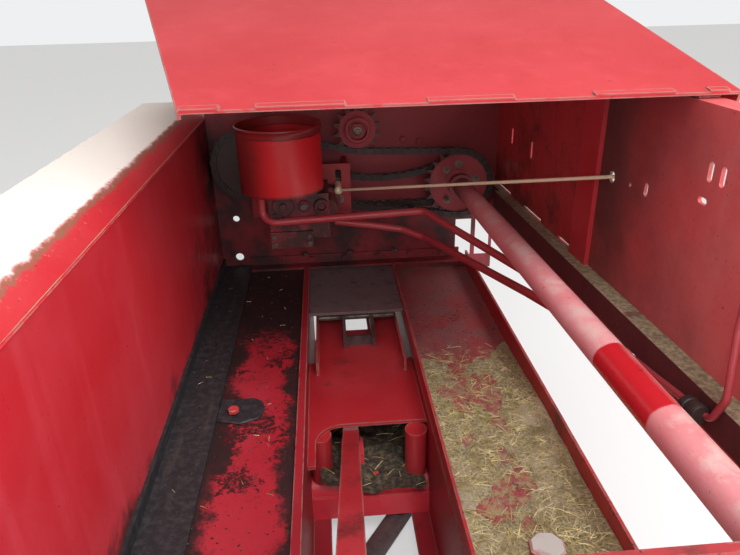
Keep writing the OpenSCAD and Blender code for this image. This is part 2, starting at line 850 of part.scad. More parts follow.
hinge_r = 9;
hinge_y = back_y - 12;
hood_t = 3;
knuckle = 60;
hinge_pin_r = 4;
rest_h = 4;
hem_w = 9;
hem_t = 2;
side_lip = 5;
nose = norm([hood_l, hinge_r]);
hood_slope = asin((hinge_z - right_wall_z - rest_h) / nose) - atan2(hinge_r, hood_l);
module hood() {
    left = hood_right - hood_w;
    nose_y = hinge_y - hood_l * cos(hood_slope) + hinge_r * sin(hood_slope);
    rest_y = nose_y + 8;
    rest_l = 40;
    color(oily) side_sheet(half_w + 4, flange_w - 6, [
        [rest_y, right_wall_z + run_gap], [rest_y + rest_l, right_wall_z + run_gap],
        [rest_y + rest_l, right_wall_z + rest_h + (rest_y + rest_l - nose_y) * tan(hood_slope) + 0.5],
        [rest_y, right_wall_z + rest_h + (rest_y - nose_y) * tan(hood_slope) + 0.5]
    ]);
    color(paint) translate([0, hinge_y, hinge_z]) rotate([hood_slope, 0, 0]) {
        difference() {
            union() {
                translate([0, 0, -hinge_r]) linear_extrude(hood_t) polygon([
                    [left, 0], [hood_right, 0], [hood_right, -hood_l], [left + hood_taper, -hood_l]
                ]);
                block([hood_right - hood_t, -hood_l, -hinge_r - 16], [hood_right, -20, -hinge_r]);
                translate([left, 0, -hinge_r]) rotate([0, 0, -atan2(hood_l, hood_taper)])
                    translate([0, 0, -side_lip]) cube([norm([hood_l, hood_taper]), hood_t, side_lip]);
                // Folded hem along the nose: [start, width]
                for (h = [[1, 37], [72, 84], [234, 84], [396, 80], [510, 20]]) {
                    x = left + hood_taper + h[0];
                    block([x, -hood_l, -hinge_r], [x + h[1], -hood_l + hem_w, hood_t + hem_t - hinge_r]);
                }
                for (x = hood_knuckles) {
                    translate([x, 0, 0]) rotate([0, 90, 0]) cylinder(h = knuckle, r = hinge_r);
                }
            }
            translate([left - 1, 0, 0]) rotate([0, 90, 0]) cylinder(h = hood_w + 2, r = hinge_pin_r + running);
            for (x = fixed_knuckles) {
                translate([x - 1, -hinge_r - 1, -hinge_r - 1])
                    cube([knuckle + 2, 2 * hinge_r + 2, 2 * hinge_r + 2]);
            }
        }
    }
}

hood_knuckles = [-260, -30, 200];
fixed_knuckles = [-260 + knuckle + 1, -30 + knuckle + 1, 200 - knuckle - 1];
module hood_hinge() {
    color(steel) {
        translate([-262, hinge_y, hinge_z]) rotate([0, 90, 0]) cylinder(h = 524, r = hinge_pin_r);
        for (x = fixed_knuckles) {
            translate([x, hinge_y, hinge_z]) rotate([0, 90, 0]) cylinder(h = knuckle, r = hinge_r);
            block([x, back_y - 3, hinge_z - 40], [x + knuckle, back_y, hinge_z]);
            block([x, hinge_y, hinge_z - 6], [x + knuckle, back_y, hinge_z]);
        }
    }
}

left_wall();
left_ledge();
ledge_gussets();
bulkhead();
bulkhead_angle();
right_panel_rear();
right_panel_front();
wall_post();
rail();
side_sill();
left_floor();
wear_strip();
left_beam();
right_beam();
tray();
cross_plate();
saddle();
clevis();
cross_pin();
posts();
cross_tube();
cross_angle();
brace();
lower_shaft();
front_plate();
front_bearing();
rear_bearing();
knotter_bearing();
drive_tube();
drive_sprocket();
rear_sprocket();
driven_sprocket();
idler_sprocket();
idler_stand();
pump_sprocket();
front_chain();
rear_chain();
oil_can();
pump_bracket();
pump_body();
pressure_line();
return_line();
control_rod();
hood();
hood_hinge();
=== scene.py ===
"""Finishes, small pieces and stage for the chain drive bay of a square baler.

X points right, Y back through the bulkhead and Z up. Meshes, materials and the stage are in metres.
The places and sizes that pieces are drawn from are in millimetres.
"""

import math
from random import Random

import bmesh
import bpy
from mathutils import Matrix, Vector, noise


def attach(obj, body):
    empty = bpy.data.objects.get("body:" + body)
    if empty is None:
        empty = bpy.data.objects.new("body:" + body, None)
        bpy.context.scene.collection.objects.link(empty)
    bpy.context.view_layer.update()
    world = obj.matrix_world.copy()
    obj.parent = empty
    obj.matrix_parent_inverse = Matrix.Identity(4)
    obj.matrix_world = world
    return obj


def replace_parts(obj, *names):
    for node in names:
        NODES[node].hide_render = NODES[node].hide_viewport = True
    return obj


bl_info = {
    "name": "Baler drive bay",
    "version": (1, 0, 0),
    "blender": (4, 5, 0),
    "location": "View3D > Sidebar > Baler",
    "description": "Dresses the drive bay of a square baler with paint, chains, bolts, dust and hay",
    "category": "Object",
}

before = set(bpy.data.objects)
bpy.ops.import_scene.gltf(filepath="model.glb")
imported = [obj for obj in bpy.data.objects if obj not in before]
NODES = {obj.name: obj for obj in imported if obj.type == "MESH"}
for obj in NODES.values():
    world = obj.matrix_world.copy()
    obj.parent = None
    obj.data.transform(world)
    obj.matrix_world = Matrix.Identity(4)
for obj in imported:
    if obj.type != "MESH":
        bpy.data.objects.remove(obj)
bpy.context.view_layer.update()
MM = 0.001

# Places and sizes that the solids share. A pair is a place in X and Z, the can's in X and Y.
PITCH = 19.05
CHAIN_GAP = 12.6
LINK_T = 2.4
LINK_H = 0.4 * PITCH
ROLLER_R = 0.3125 * PITCH
SHAFT = (210.0, 31.0)
DRIVEN = (-221.0, 88.0)
IDLER = (2.0, 149.0)
PUMP = (-62.0, 24.0)
FRONT_CHAIN_Y = -60.0
REAR_CHAIN_Y = -34.0
REAR_SAG = 24.0
RISE = math.radians(2.4)
CAN = (-147.0, -161.3)
BOSS = (-108.7, 35.6)
RING = (-75.9, 34.1)
COVER = (-147.9, 35.6)
PUMP_FACE_Y = -179.6
FRONT_Y = -1080
FLOOR_Z = -160.0
STRIP_EDGE_X = -240
STRIP_LIFT = 5.2
TRAY_TOP = -184.0

FORWARD = (0, -1, 0)
UPWARD = (0, 0, 1)
UPRIGHT = Matrix.Rotation(math.pi / 2, 4, "X")
LEANED = Matrix.Rotation(-RISE, 3, "X")
SHARP_ANGLE = math.radians(35)


# Small mesh tools

def tone(red, green, blue):
    """A colour given in screen values from 0 to 255, as Blender's linear colour."""
    def linear(value):
        value /= 255
        return value / 12.92 if value <= 0.04045 else ((value + 0.055) / 1.055) ** 2.4
    return (linear(red), linear(green), linear(blue), 1.0)


PAINT = tone(186, 26, 38)
DUST = tone(168, 150, 122)
BARE = tone(150, 128, 118)
GRIME = tone(36, 22, 25)
CHALK = (214, 96, 104)


class Made:
    """The groups, finishes and trees made so far, and the two tones that a user may change."""
    groups, finishes, trees = {}, {}, {}
    paint, dust = PAINT, DUST


def lean(point):
    """A point of the drive, drawn upright, leaned as the shafts are."""
    x, y, z = point
    turned = LEANED @ Vector((0, y - FRONT_CHAIN_Y, z - SHAFT[1]))
    return Vector((x, turned.y + FRONT_CHAIN_Y, turned.z + SHAFT[1]))


def add_object(name, data):
    thing = bpy.data.objects.new(name, data)
    bpy.context.scene.collection.objects.link(thing)
    return thing


def new_piece(name, mesh, body="frame", smooth=True):
    """Puts a finished mesh in the scene, on its body."""
    piece = add_object(name, mesh)
    if smooth:
        mesh.shade_smooth()
        mesh.set_sharp_from_angle(angle=SHARP_ANGLE)
    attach(piece, body)
    return piece


def to_mesh(name, shape):
    """Ends a bmesh drawn in millimetres as a mesh in metres, with its faces pointing outwards."""
    bmesh.ops.remove_doubles(shape, verts=shape.verts, dist=1e-4)
    bmesh.ops.recalc_face_normals(shape, faces=shape.faces)
    bmesh.ops.scale(shape, vec=(MM, MM, MM), verts=shape.verts)
    mesh = bpy.data.meshes.new(name)
    shape.to_mesh(mesh)
    shape.free()
    return mesh


def shape_piece(name, shape, finish, body="frame"):
    """Ends a bmesh drawn in millimetres as a piece with its finish."""
    mesh = to_mesh(name, shape)
    mesh.materials.append(Made.finishes[finish])
    return new_piece(name, mesh, body)


def add_prism(shape, outline, low, high, place=Matrix.Identity(4)):
    """Adds a closed prism: an outline in X and Y, from low to high along Z."""
    bottom = [shape.verts.new(place @ Vector((x, y, low))) for x, y in outline]
    top = [shape.verts.new(place @ Vector((x, y, high))) for x, y in outline]
    shape.faces.new(bottom[::-1])
    shape.faces.new(top)
    for i in range(len(outline)):
        j = (i + 1) % len(outline)
        shape.faces.new((bottom[i], bottom[j], top[j], top[i]))


def ring_of(count, radius):
    return [(radius * math.cos(math.tau * k / count), radius * math.sin(math.tau * k / count))
            for k in range(count)]


def add_turned(shape, profile, place=Matrix.Identity(4), sides=24):
    """Adds a turned form: a profile of (radius, height) about Z, closed at zero radius."""
    rings = []
    for radius, height in profile:
        spots = ring_of(sides, radius) if radius > 1e-6 else [(0, 0)]
        rings.append([shape.verts.new(place @ Vector((x, y, height))) for x, y in spots])
    for a, b in zip(rings, rings[1:]):
        for k in range(sides):
            n = (k + 1) % sides
            corners = list(dict.fromkeys([a[k % len(a)], a[n % len(a)], b[n % len(b)], b[k % len(b)]]))
            if len(corners) > 2:
                shape.faces.new(corners)


def facing(direction):
    """A turn that takes Z to a direction."""
    return Vector(direction).to_track_quat("Z", "Y").to_matrix()


# Node trees

class Graph:
    """Adds nodes to a tree and joins them."""

    def __init__(self, tree):
        self.tree = tree

    def put(self, kind, links=None, **settings):
        node = self.tree.nodes.new(kind)
        for name, value in settings.items():
            setattr(node, name, value)
        for key, value in (links or {}).items():
            if isinstance(value, bpy.types.NodeSocket):
                self.tree.links.new(value, node.inputs[key])
            else:
                node.inputs[key].default_value = value
        return node

    def give(self, **values):
        """Joins values to a group's named outputs and hands the finished tree back."""
        outputs = self.tree.nodes.new("NodeGroupOutput").inputs
        for name, value in values.items():
            self.tree.links.new(value, outputs[name])
        return self.tree

    def math(self, operation, a, b=0.0, clamp=False):
        return self.put("ShaderNodeMath", {0: a, 1: b}, operation=operation, use_clamp=clamp).outputs[0]

    def plus(self, a, b):
        return self.math("ADD", a, b)

    def minus(self, a, b, clamp=False):
        return self.math("SUBTRACT", a, b, clamp)

    def times(self, a, b, clamp=False):
        return self.math("MULTIPLY", a, b, clamp)

    def most(self, a, b, clamp=False):
        return self.math("MAXIMUM", a, b, clamp)

    def mix(self, factor, a, b):
        return self.put("ShaderNodeMix", {0: factor, 6: a, 7: b}, data_type="RGBA").outputs[2]

    def blend_value(self, factor, a, b):
        return self.put("ShaderNodeMix", {0: factor, 2: a, 3: b}, data_type="FLOAT").outputs[0]

    def step(self, value, low, high, start=0.0, end=1.0):
        return self.put("ShaderNodeMapRange", {0: value, 1: low, 2: high, 3: start, 4: end},
                        interpolation_type="SMOOTHSTEP").outputs[0]

    def edge(self, value, limit, below, above):
        """A step about a limit that may itself vary."""
        return self.step(value, self.minus(limit, below), self.plus(limit, above))

    def band(self, value, low, high, soft):
        """1 between low and high, with soft ends."""
        rise = self.step(value, low - soft, low + soft)
        return self.times(rise, self.step(value, high - soft, high + soft, 1.0, 0.0))

    def place(self):
        return self.put("ShaderNodeTexCoord").outputs["Object"]

    def split(self, vector):
        return self.put("ShaderNodeSeparateXYZ", {0: vector}).outputs[:3]

    def up(self):
        """How far the surface faces upwards."""
        return self.split(self.put("ShaderNodeNewGeometry").outputs["Normal"])[2]

    def noise(self, vector, scale, detail=5.0, roughness=0.6, distortion=0.0):
        return self.put("ShaderNodeTexNoise", {
            "Vector": vector, "Scale": scale, "Detail": detail, "Roughness": roughness,
            "Distortion": distortion}).outputs["Fac"]

    def stretched(self, vector, scales, detail=5.0):
        """Noise drawn out into runs."""
        return self.noise(self.put("ShaderNodeMapping", {"Vector": vector, "Scale": scales}).outputs[0], 1.0, detail)

    def sway(self, vector, reach, scale, detail, roughness=0.6):
        """Noise about zero, to make an edge ragged."""
        return self.times(self.minus(self.noise(vector, scale, detail, roughness), 0.5), reach)

    def group(self, name, **values):
        """Puts in one of the shared groups."""
        return self.put("ShaderNodeGroup", values, node_tree=Made.groups[name]).outputs


SOCKETS = {"float": "NodeSocketFloat", "int": "NodeSocketInt", "tuple": "NodeSocketColor",
           "shape": "NodeSocketGeometry", "object": "NodeSocketObject", "material": "NodeSocketMaterial"}


def named_group(name, kind, inputs, outputs):
    """A new group's graph and input values. A named socket has a default, or the kind of what it takes."""
    tree = bpy.data.node_groups.new(name, kind)
    for side, sockets in (("INPUT", inputs), ("OUTPUT", outputs)):
        for label, default in sockets.items():
            sort = default if isinstance(default, str) else type(default).__name__
            socket = tree.interface.new_socket(label, in_out=side, socket_type=SOCKETS[sort])
            if sort != default:
                socket.default_value = default
    return Graph(tree), tree.nodes.new("NodeGroupInput").outputs


def cover_group(name, cover, rough, find_mask, **inputs):
    """A group that covers a finish with a colour and a roughness of its own, where its mask says."""
    g, given = named_group(name, "ShaderNodeTree", {"Colour": PAINT, "Roughness": 0.4, **inputs},
                           {"Colour": PAINT, "Roughness": 0.4, "Mask": 0.0})
    mask = find_mask(g, g.place(), given)
    return g.give(Colour=g.mix(mask, given["Colour"], given[cover]),
                  Roughness=g.blend_value(mask, given["Roughness"], rough), Mask=mask)


def dust_mask(g, place, given):
    """Dust that lies on what faces up and fades out in patches."""
    level = g.step(g.up(), 0.25, 0.9)
    patches = g.noise(place, given["Scale"], 8.0, 0.68)
    lying = g.times(level, g.edge(patches, g.minus(0.95, given["Amount"]), 0.14, 0.12))
    return g.most(lying, g.times(g.noise(place, 5.0, 3.0), given["Film"]), clamp=True)


def grime_mask(g, place, given):
    """Dark oil and dirt in blots and specks."""
    blots = g.noise(place, given["Scale"], 9.0, 0.7, 0.2)
    blot = g.edge(blots, g.minus(0.9, g.times(given["Amount"], given["Where"])), 0.15, 0.1)
    flecks = g.noise(place, 210.0, 3.0, 0.7, 0.4)
    thick = g.times(g.times(given["Specks"], given["Where"]), g.noise(place, 24.0, 4.0, 0.7))
    speck = g.step(g.plus(flecks, g.times(thick, 0.9)), 0.66, 0.76)
    return g.times(g.most(blot, speck), 0.93, clamp=True)


def chip_mask(g, place, given):
    """Paint worn off along edges, in chips."""
    soft = g.put("ShaderNodeBevel", {"Radius": given["Radius"]}, samples=4).outputs[0]
    true = g.put("ShaderNodeNewGeometry").outputs["True Normal"]
    match = g.put("ShaderNodeVectorMath", {0: soft, 1: true}, operation="DOT_PRODUCT").outputs["Value"]
    chip = g.edge(g.noise(place, 44.0, 7.0, 0.7), g.minus(1.03, given["Amount"]), 0.1, 0.1)
    return g.times(g.step(match, 0.995, 0.86), chip, clamp=True)


def make_fade_group():
    """Old paint: fresh colour and chalky faded colour in clouds and runs."""
    g, given = named_group("Faded paint", "ShaderNodeTree", {
        "Paint": PAINT, "Faded": PAINT, "Fade": 0.4, "Runs": 0.3}, {"Colour": PAINT})
    place = g.place()
    clouds = g.step(g.noise(place, 3.4, 7.0, 0.62), 0.36, 0.68)
    runs = g.step(g.stretched(place, (34.0, 34.0, 2.2)), 0.48, 0.72)
    base = g.plus(g.times(clouds, given["Fade"]), g.times(runs, given["Runs"]))
    fine = g.step(g.noise(place, 120.0, 3.0, 0.6), 0.2, 0.55, 0.7, 1.0)
    return g.give(Colour=g.mix(g.times(base, fine, clamp=True), given["Paint"], given["Faded"]))


def make_dent_group():
    """Height of rolled sheet: shallow waves and grit."""
    g, given = named_group("Sheet surface", "ShaderNodeTree", {"Waves": 0.5, "Grit": 0.3}, {"Height": 0.0})
    place = g.place()
    waves = g.times(g.noise(place, 6.0, 2.0), given["Waves"])
    return g.give(Height=g.plus(waves, g.times(g.noise(place, 260.0, 4.0, 0.65), given["Grit"])))


# Finishes

def new_material(name):
    """A new finish's graph and its place on the piece."""
    material = bpy.data.materials.new(name)
    material.use_nodes = True
    material.node_tree.nodes.clear()
    Made.finishes[name] = material
    g = Graph(material.node_tree)
    return g, g.place()


def close_material(g, colour, roughness, height=None, distance=0.0, metallic=0.0, strength=0.5):
    links = {"Base Color": colour, "Roughness": roughness, "Metallic": metallic}
    if height is not None:
        links["Normal"] = g.put("ShaderNodeBump", {
            "Height": height, "Distance": distance, "Strength": strength}).outputs[0]
    surface = g.put("ShaderNodeBsdfPrincipled", links)
    g.put("ShaderNodeOutputMaterial", {"Surface": surface.outputs[0]})


def wear_down(g, shade, roughness, bare, radius, chips, grime, dust):
    """Chips a finish at its edges, then soils it, then lets dust lie on it."""
    for name, values in (("chips", {"Bare": bare, "Amount": chips, "Radius": radius}),
                         ("grime", {"Grime": GRIME, **grime}), ("dust", dust)):
        worn = g.group(name, Colour=shade, Roughness=roughness, **values)
        shade, roughness = worn["Colour"], worn["Roughness"]
        if name == "grime":
            soiled = worn["Mask"]
    return shade, roughness, g.most(soiled, worn["Mask"])


WEAR = ("fade", "runs", "dust", "film", "grime", "specks", "chips", "rough")


def paint(name, fresh, faded, wear, where=None, extra=None, tint=None, waves=0.5, grit=0.35, chip_radius=0.003,
          grime_scale=9.0, dust_scale=14.0):
    """Old tractor paint with its wear, in the order of WEAR.

    where(g, place) gives the places where grime gathers, and on the bulkhead also lays painted shade. extra gives
    the colour and roughness of marks under the dirt, painted shade among them, and may give a mask that keeps dust
    off them.
    """
    g, place = new_material(name)
    wear = dict(zip(WEAR, wear))
    shade = g.group("fade", Paint=tone(*fresh) if fresh else Made.paint, Faded=tone(*faded), Fade=wear["fade"],
                    Runs=wear["runs"])["Colour"]
    roughness, dust, film, clean = wear["rough"], wear["dust"], wear["film"], None
    if extra:
        shade, roughness, *clean = extra(g, place, shade, roughness)
    if clean:
        kept = g.minus(1.0, clean[0], clamp=True)
        dust, film = g.times(kept, dust), g.times(kept, film)
    shade, roughness, dirt = wear_down(
        g, shade, roughness, BARE, chip_radius, wear["chips"],
        {"Amount": wear["grime"], "Specks": wear["specks"], "Scale": grime_scale,
         "Where": where(g, place) if where else 1.0},
        {"Dust": tone(*tint) if tint else Made.dust, "Amount": dust, "Film": film, "Scale": dust_scale})
    height = g.group("dents", Waves=waves, Grit=grit)["Height"]
    close_material(g, shade, roughness, g.plus(height, g.times(dirt, 0.6)), 0.0009)


def steel(name, colour, rust, rough, metallic, oil, dust=0.25, worn=(168, 160, 152)):
    """Worn or oily bare steel."""
    g, place = new_material(name)
    clouds = g.noise(place, 40.0, 7.0, 0.7)
    rusted = g.step(clouds, 0.66 - 0.3 * rust, 0.82 - 0.3 * rust)
    shade, roughness, dirt = wear_down(
        g, g.mix(rusted, tone(*colour), tone(92, 56, 40)), rough, tone(*worn), 0.0012, 0.4,
        {"Amount": oil, "Specks": 0.1, "Scale": 30.0, "Where": 1.0},
        {"Dust": DUST, "Amount": dust, "Film": dust * 0.4, "Scale": 40.0})
    metal = g.times(g.minus(1.0, g.most(rusted, dirt), clamp=True), metallic)
    height = g.group("dents", Waves=0.1, Grit=0.5)["Height"]
    close_material(g, shade, roughness, g.plus(height, clouds), 0.0004, metal)


def tube_marks(g, place, shade, rough):
    """A clean red band on the tube, and darker towards the end by the sprocket."""
    x, y, _ = g.split(place)
    sway = g.sway(place, 0.008, 45.0, 4.0)
    clean = g.times(g.band(g.plus(y, sway), -0.905, -0.797, 0.0015),
                    g.step(g.plus(x, sway), 0.224, 0.212, 0.4, 1.0))
    dark = g.step(g.plus(y, g.times(sway, 4.0)), -0.3, -0.1, 0.0, 0.9)
    shade = g.mix(dark, shade, tone(104, 34, 42))
    return g.mix(clean, shade, tone(196, 34, 44)), g.blend_value(clean, rough, 0.25), g.most(clean, dark)


def can_marks(g, place, shade, rough):
    """Darker over the rim and at the foot, and grime with painted shade over the left side."""
    x, _, z = g.split(place)
    sway = g.sway(place, 0.006, 70.0, 5.0)
    height = g.plus(z, sway)
    rim = g.most(g.band(height, 0.170, 0.1735, 0.001), g.step(height, 0.171, 0.175, 0.0, 0.75))
    # The left side is darkened as grime and painted shade.
    side = g.step(g.plus(x, g.times(sway, 3.0)), -0.155, -0.205, 0.0, 0.85)
    dark = g.most(rim, g.most(g.step(height, 0.074, 0.066), side))
    return g.mix(g.times(dark, 0.85), shade, tone(52, 22, 26)), rough


def ledge_dust(g, place, shade, rough):
    """Pale top, dust painted near white so that it also stands for sunlight on it, a line of dirt where it bends
    down, and worn red on the bent edge.
    """
    across = g.plus(g.split(place)[0], g.sway(place, 0.016, 55.0, 9.0, 0.75))
    # Near white: dust and painted sunlight.
    pale = g.step(across, -0.3212, -0.3265)
    dirt = g.band(across, -0.3225, -0.3190, 0.0015)
    scuffs = g.step(g.noise(place, 130.0, 6.0, 0.7), 0.6, 0.68, 0.0, 0.6)
    shade = g.mix(g.times(scuffs, g.step(across, -0.309, -0.318)), shade, tone(222, 150, 146))
    shade = g.mix(g.times(dirt, 0.8), shade, tone(126, 92, 70))
    return g.mix(pale, shade, tone(236, 226, 218)), g.blend_value(pale, rough, 0.8)


def floor_edges(g, place):
    """The floor's sides and far end."""
    x, y, _ = g.split(place)
    sway = g.sway(place, 0.09, 14.0, 6.0)
    sides = g.most(g.step(g.plus(x, sway), -0.195, -0.25), g.step(g.plus(x, sway), -0.165, -0.125))
    return g.most(sides, g.step(g.plus(y, sway), -0.52, -0.2))


def floor_spatter(g, place, shade, rough):
    soot = g.noise(place, 150.0, 8.0, 0.8)
    patches = g.step(g.noise(place, 11.0, 8.0, 0.7), 0.47, 0.6, 0.0, 0.17)
    thick = g.plus(g.times(floor_edges(g, place), 0.17), g.plus(patches, 0.07))
    return g.mix(g.step(g.plus(soot, thick), 0.66, 0.76, 0.0, 0.92), shade, tone(30, 20, 23)), rough


def tray_film(g, place, shade, rough):
    """A soft film on the tray's bottom, with chaff near the hay and soot at the far end."""
    _, y, z = g.split(place)
    low = g.step(z, -0.176, -0.182)
    cover = g.times(g.step(g.noise(place, 15.0, 9.0, 0.75, 0.3), 0.68, 0.36, 0.25, 0.9), low)
    shade = g.mix(cover, shade, tone(142, 92, 94))
    reach = g.times(g.step(y, -0.27, -0.46), low)
    chaff = g.step(g.plus(g.noise(place, 70.0, 9.0, 0.8), g.times(reach, 0.16)), 0.6, 0.74)
    shade = g.mix(g.times(chaff, low), shade, tone(166, 148, 108))
    soot = g.step(g.noise(place, 190.0, 6.0, 0.75), 0.6, 0.68, 0.0, 0.7)
    shade = g.mix(g.times(soot, g.step(y, -0.5, -0.25)), shade, tone(42, 30, 32))
    return shade, g.blend_value(cover, rough, 0.85)


def low_and_back(g, place):
    """The wall's lower edge and far end."""
    _, y, z = g.split(place)
    return g.plus(0.35, g.most(g.step(z, -0.06, -0.15), g.step(y, -0.4, -0.05)))


def bulkhead_corner(g, place):
    """Grime over all of the bulkhead, more at its foot, and more on its left side, where the extra is the can's
    painted shadow.
    """
    x, _, z = g.split(place)
    return g.plus(0.55, g.times(g.most(g.step(z, 0.06, -0.1), g.step(x, -0.06, -0.24)), 0.5))


def far_soot(g, place, shade, rough):
    """Painted shade over the far end of the right wall, thicker towards its top."""
    _, y, z = g.split(place)
    cloud = g.sway(place, 0.3, 7.0, 6.0)
    thick = g.times(g.step(g.plus(y, cloud), -0.86, -0.5), g.step(g.plus(z, cloud), -0.05, 0.12, 0.4, 0.92))
    return g.mix(thick, shade, tone(44, 24, 27)), rough


def oily_teeth(g, place, shade, rough):
    """Dark oil on the teeth of the drive's and the idler's sprocket."""
    x, _, z = g.split(place)
    shares = []
    for (across, high), root in ((SHAFT, 60.5), (IDLER, 37.0)):
        dx, dz = g.minus(x, across * MM), g.minus(z, high * MM)
        away = g.math("SQRT", g.plus(g.times(dx, dx), g.times(dz, dz)))
        shares.append(g.math("DIVIDE", away, root * MM))
    return g.mix(g.step(g.math("MINIMUM", *shares), 0.95, 1.02, 0.0, 0.85), shade, tone(40, 28, 29)), rough


# Fresh and faded colour in screen values, the wear in the order of WEAR, and what else is the paint's own.
# No fresh colour means the one that the user may change.
PAINTS = {
    "Wall paint": ((190, 22, 38), (204, 66, 80), (0.5, 0.3, 0.5, 0.05, 0.3, 0.03, 0.5, 0.4),
                   {"where": low_and_back}),
    "Hood paint": ((170, 22, 32), (186, 50, 58), (0.6, 0.3, 0.08, 0.04, 0.05, 0.02, 0.62, 0.45),
                   {"waves": 0.7, "grit": 0.3, "tint": (204, 130, 128), "dust_scale": 30.0}),
    # The right wall carries painted shade over its far end.
    "Right wall paint": ((232, 62, 74), (236, 132, 134), (0.55, 0.2, 0.3, 0.2, 0.14, 0.05, 0.5, 0.55),
                         {"extra": far_soot, "tint": (150, 120, 100)}),
    "Post paint": ((186, 30, 44), CHALK, (0.3, 0.1, 0.1, 0.05, 0.1, 0.03, 0.4, 0.4), {}),
    "Bay paint": (None, CHALK, (0.25, 0.15, 0.2, 0.1, 0.3, 0.14, 0.45, 0.4), {}),
    # The bulkhead's red is darker than the bay's as painted shade.
    "Bulkhead paint": ((132, 22, 36), (140, 44, 56), (0.3, 0.2, 0.1, 0.04, 0.36, 0.06, 0.4, 0.5),
                       {"where": bulkhead_corner}),
    "Saddle paint": ((172, 22, 38), CHALK, (0.25, 0.0, 0.12, 0.06, 0.22, 0.06, 0.6, 0.35), {}),
    "Low tube paint": ((216, 42, 62), CHALK, (0.2, 0.0, 0.1, 0.04, 0.16, 0.04, 0.5, 0.4), {}),
    "Beam paint": ((150, 22, 38), (170, 60, 74), (0.25, 0.05, 0.12, 0.04, 0.18, 0.05, 0.6, 0.4), {}),
    "Deep red paint": ((150, 22, 34), (150, 58, 66), (0.25, 0.1, 0.14, 0.06, 0.26, 0.08, 0.45, 0.5), {}),
    "Sprocket paint": ((150, 30, 44), (150, 60, 68), (0.4, 0.0, 0.06, 0.04, 0.2, 0.06, 0.6, 0.55),
                       {"chip_radius": 0.0016, "extra": oily_teeth}),
    # The far sprocket's red is darkened to near black as painted shade, with oil grime over it.
    "Far sprocket paint": ((58, 24, 28), (70, 36, 38), (0.3, 0.0, 0.1, 0.1, 0.4, 0.1, 0.4, 0.6),
                           {"chip_radius": 0.0016}),
    "Line paint": ((164, 38, 52), (186, 84, 94), (0.4, 0.0, 0.2, 0.1, 0.14, 0.06, 0.2, 0.4), {}),
    "Pump paint": ((136, 30, 44), (130, 52, 60), (0.3, 0.0, 0.12, 0.05, 0.42, 0.12, 0.5, 0.5),
                   {"grime_scale": 26.0}),
    "Rubbed bolt": ((184, 30, 44), CHALK, (0.2, 0.0, 0.56, 0.04, 0.1, 0.02, 0.5, 0.4),
                    {"tint": (206, 200, 194), "dust_scale": 30.0}),
    "Dusty tube paint": ((222, 112, 122), (236, 168, 172), (0.8, 0.1, 0.42, 0.3, 0.06, 0.02, 0.3, 0.6),
                         {"waves": 0.1, "grit": 0.5, "extra": tube_marks, "tint": (222, 182, 176),
                          "dust_scale": 24.0}),
    "Can paint": ((200, 22, 34), (188, 46, 52), (0.2, 0.1, 0.1, 0.04, 0.16, 0.05, 0.3, 0.3),
                  {"extra": can_marks}),
    "Ledge paint": ((186, 26, 40), (200, 64, 74), (0.5, 0.1, 0.0, 0.06, 0.06, 0.02, 0.5, 0.45),
                    {"extra": ledge_dust}),
    "Oily floor paint": ((160, 26, 42), (186, 66, 80), (0.35, 0.0, 0.04, 0.02, 0.4, 0.1, 0.2, 0.35),
                         {"waves": 0.2, "grit": 0.6, "extra": floor_spatter, "grime_scale": 17.0,
                          "where": lambda g, place: g.plus(0.4, floor_edges(g, place))}),
    "Tray paint": ((176, 24, 42), CHALK, (0.3, 0.0, 0.2, 0.1, 0.2, 0.2, 0.55, 0.5),
                   {"waves": 0.2, "grit": 0.6, "extra": tray_film}),
}

# Colour in screen values, rust, roughness, metallic and oil, and what else is the steel's own
STEELS = {
    "Worn steel": ((132, 122, 112), 0.5, 0.45, 0.75, 0.3, {}),
    "Oily steel": ((94, 78, 82), 0.2, 0.4, 0.4, 0.34, {}),
    "Chain steel": ((62, 50, 48), 0.2, 0.38, 0.5, 0.4, {"dust": 0.02, "worn": (142, 126, 116)}),
    # The rollers are worn bright steel, made lighter still as painted highlight.
    "Roller steel": ((168, 152, 140), 0.3, 0.35, 0.6, 0.2, {"dust": 0.1}),
    "Dull plate": ((116, 98, 102), 0.1, 0.5, 0.1, 0.25, {}),
    "Bright rod": ((232, 222, 190), 0.05, 0.4, 0.2, 0.0, {}),
    "Black fitting": ((50, 48, 50), 0.1, 0.55, 0.2, 0.4, {}),
}

# Roughness, the noise's scale, detail and roughness, its dark and light limit, both tones and the relief
SPECKLED = {
    "Straw": (0.7, (55.0, 2.0, 0.6), (0.35, 0.65), (166, 148, 90), (236, 220, 166), 0.0),
    "Dirt crumbs": (0.9, (70.0, 3.0, 0.6), (0.4, 0.62), (30, 25, 22), (74, 62, 48), 0.0),
    "Packed dirt": (0.8, (120.0, 8.0, 0.75), (0.4, 0.7), (48, 42, 38), (124, 108, 82), 0.004),
}

NODE_FINISH = {
    "Wall paint": ["left_wall"],
    "Hood paint": ["hood"],
    "Right wall paint": ["right_panel_front"],
    "Bay paint": ["right_panel_rear", "side_sill"],
    "Post paint": ["wall_post"],
    "Bulkhead paint": ["bulkhead", "bulkhead_angle"],
    "Saddle paint": ["saddle", "posts", "brace"],
    "Low tube paint": ["cross_tube", "cross_angle"],
    "Beam paint": ["left_beam", "right_beam"],
    "Deep red paint": ["front_plate", "idler_stand", "pump_bracket"],
    "Can paint": ["oil_can"],
    "Sprocket paint": ["drive_sprocket", "idler_sprocket"],
    "Far sprocket paint": ["driven_sprocket"],
    "Pump paint": ["pump_body"],
    "Dusty tube paint": ["drive_tube"],
    "Oily floor paint": ["left_floor"],
    "Tray paint": ["tray"],
    "Worn black strip": ["wear_strip"],
    "Dust on the rail": ["rail"],
    "Worn steel": ["front_bearing", "rear_bearing", "knotter_bearing", "rear_sprocket", "pump_sprocket",
                   "hood_hinge", "cross_pin"],
    "Oily steel": ["clevis", "lower_shaft"],
    "Dull plate": ["cross_plate"],
    "Bright rod": ["control_rod"],
}


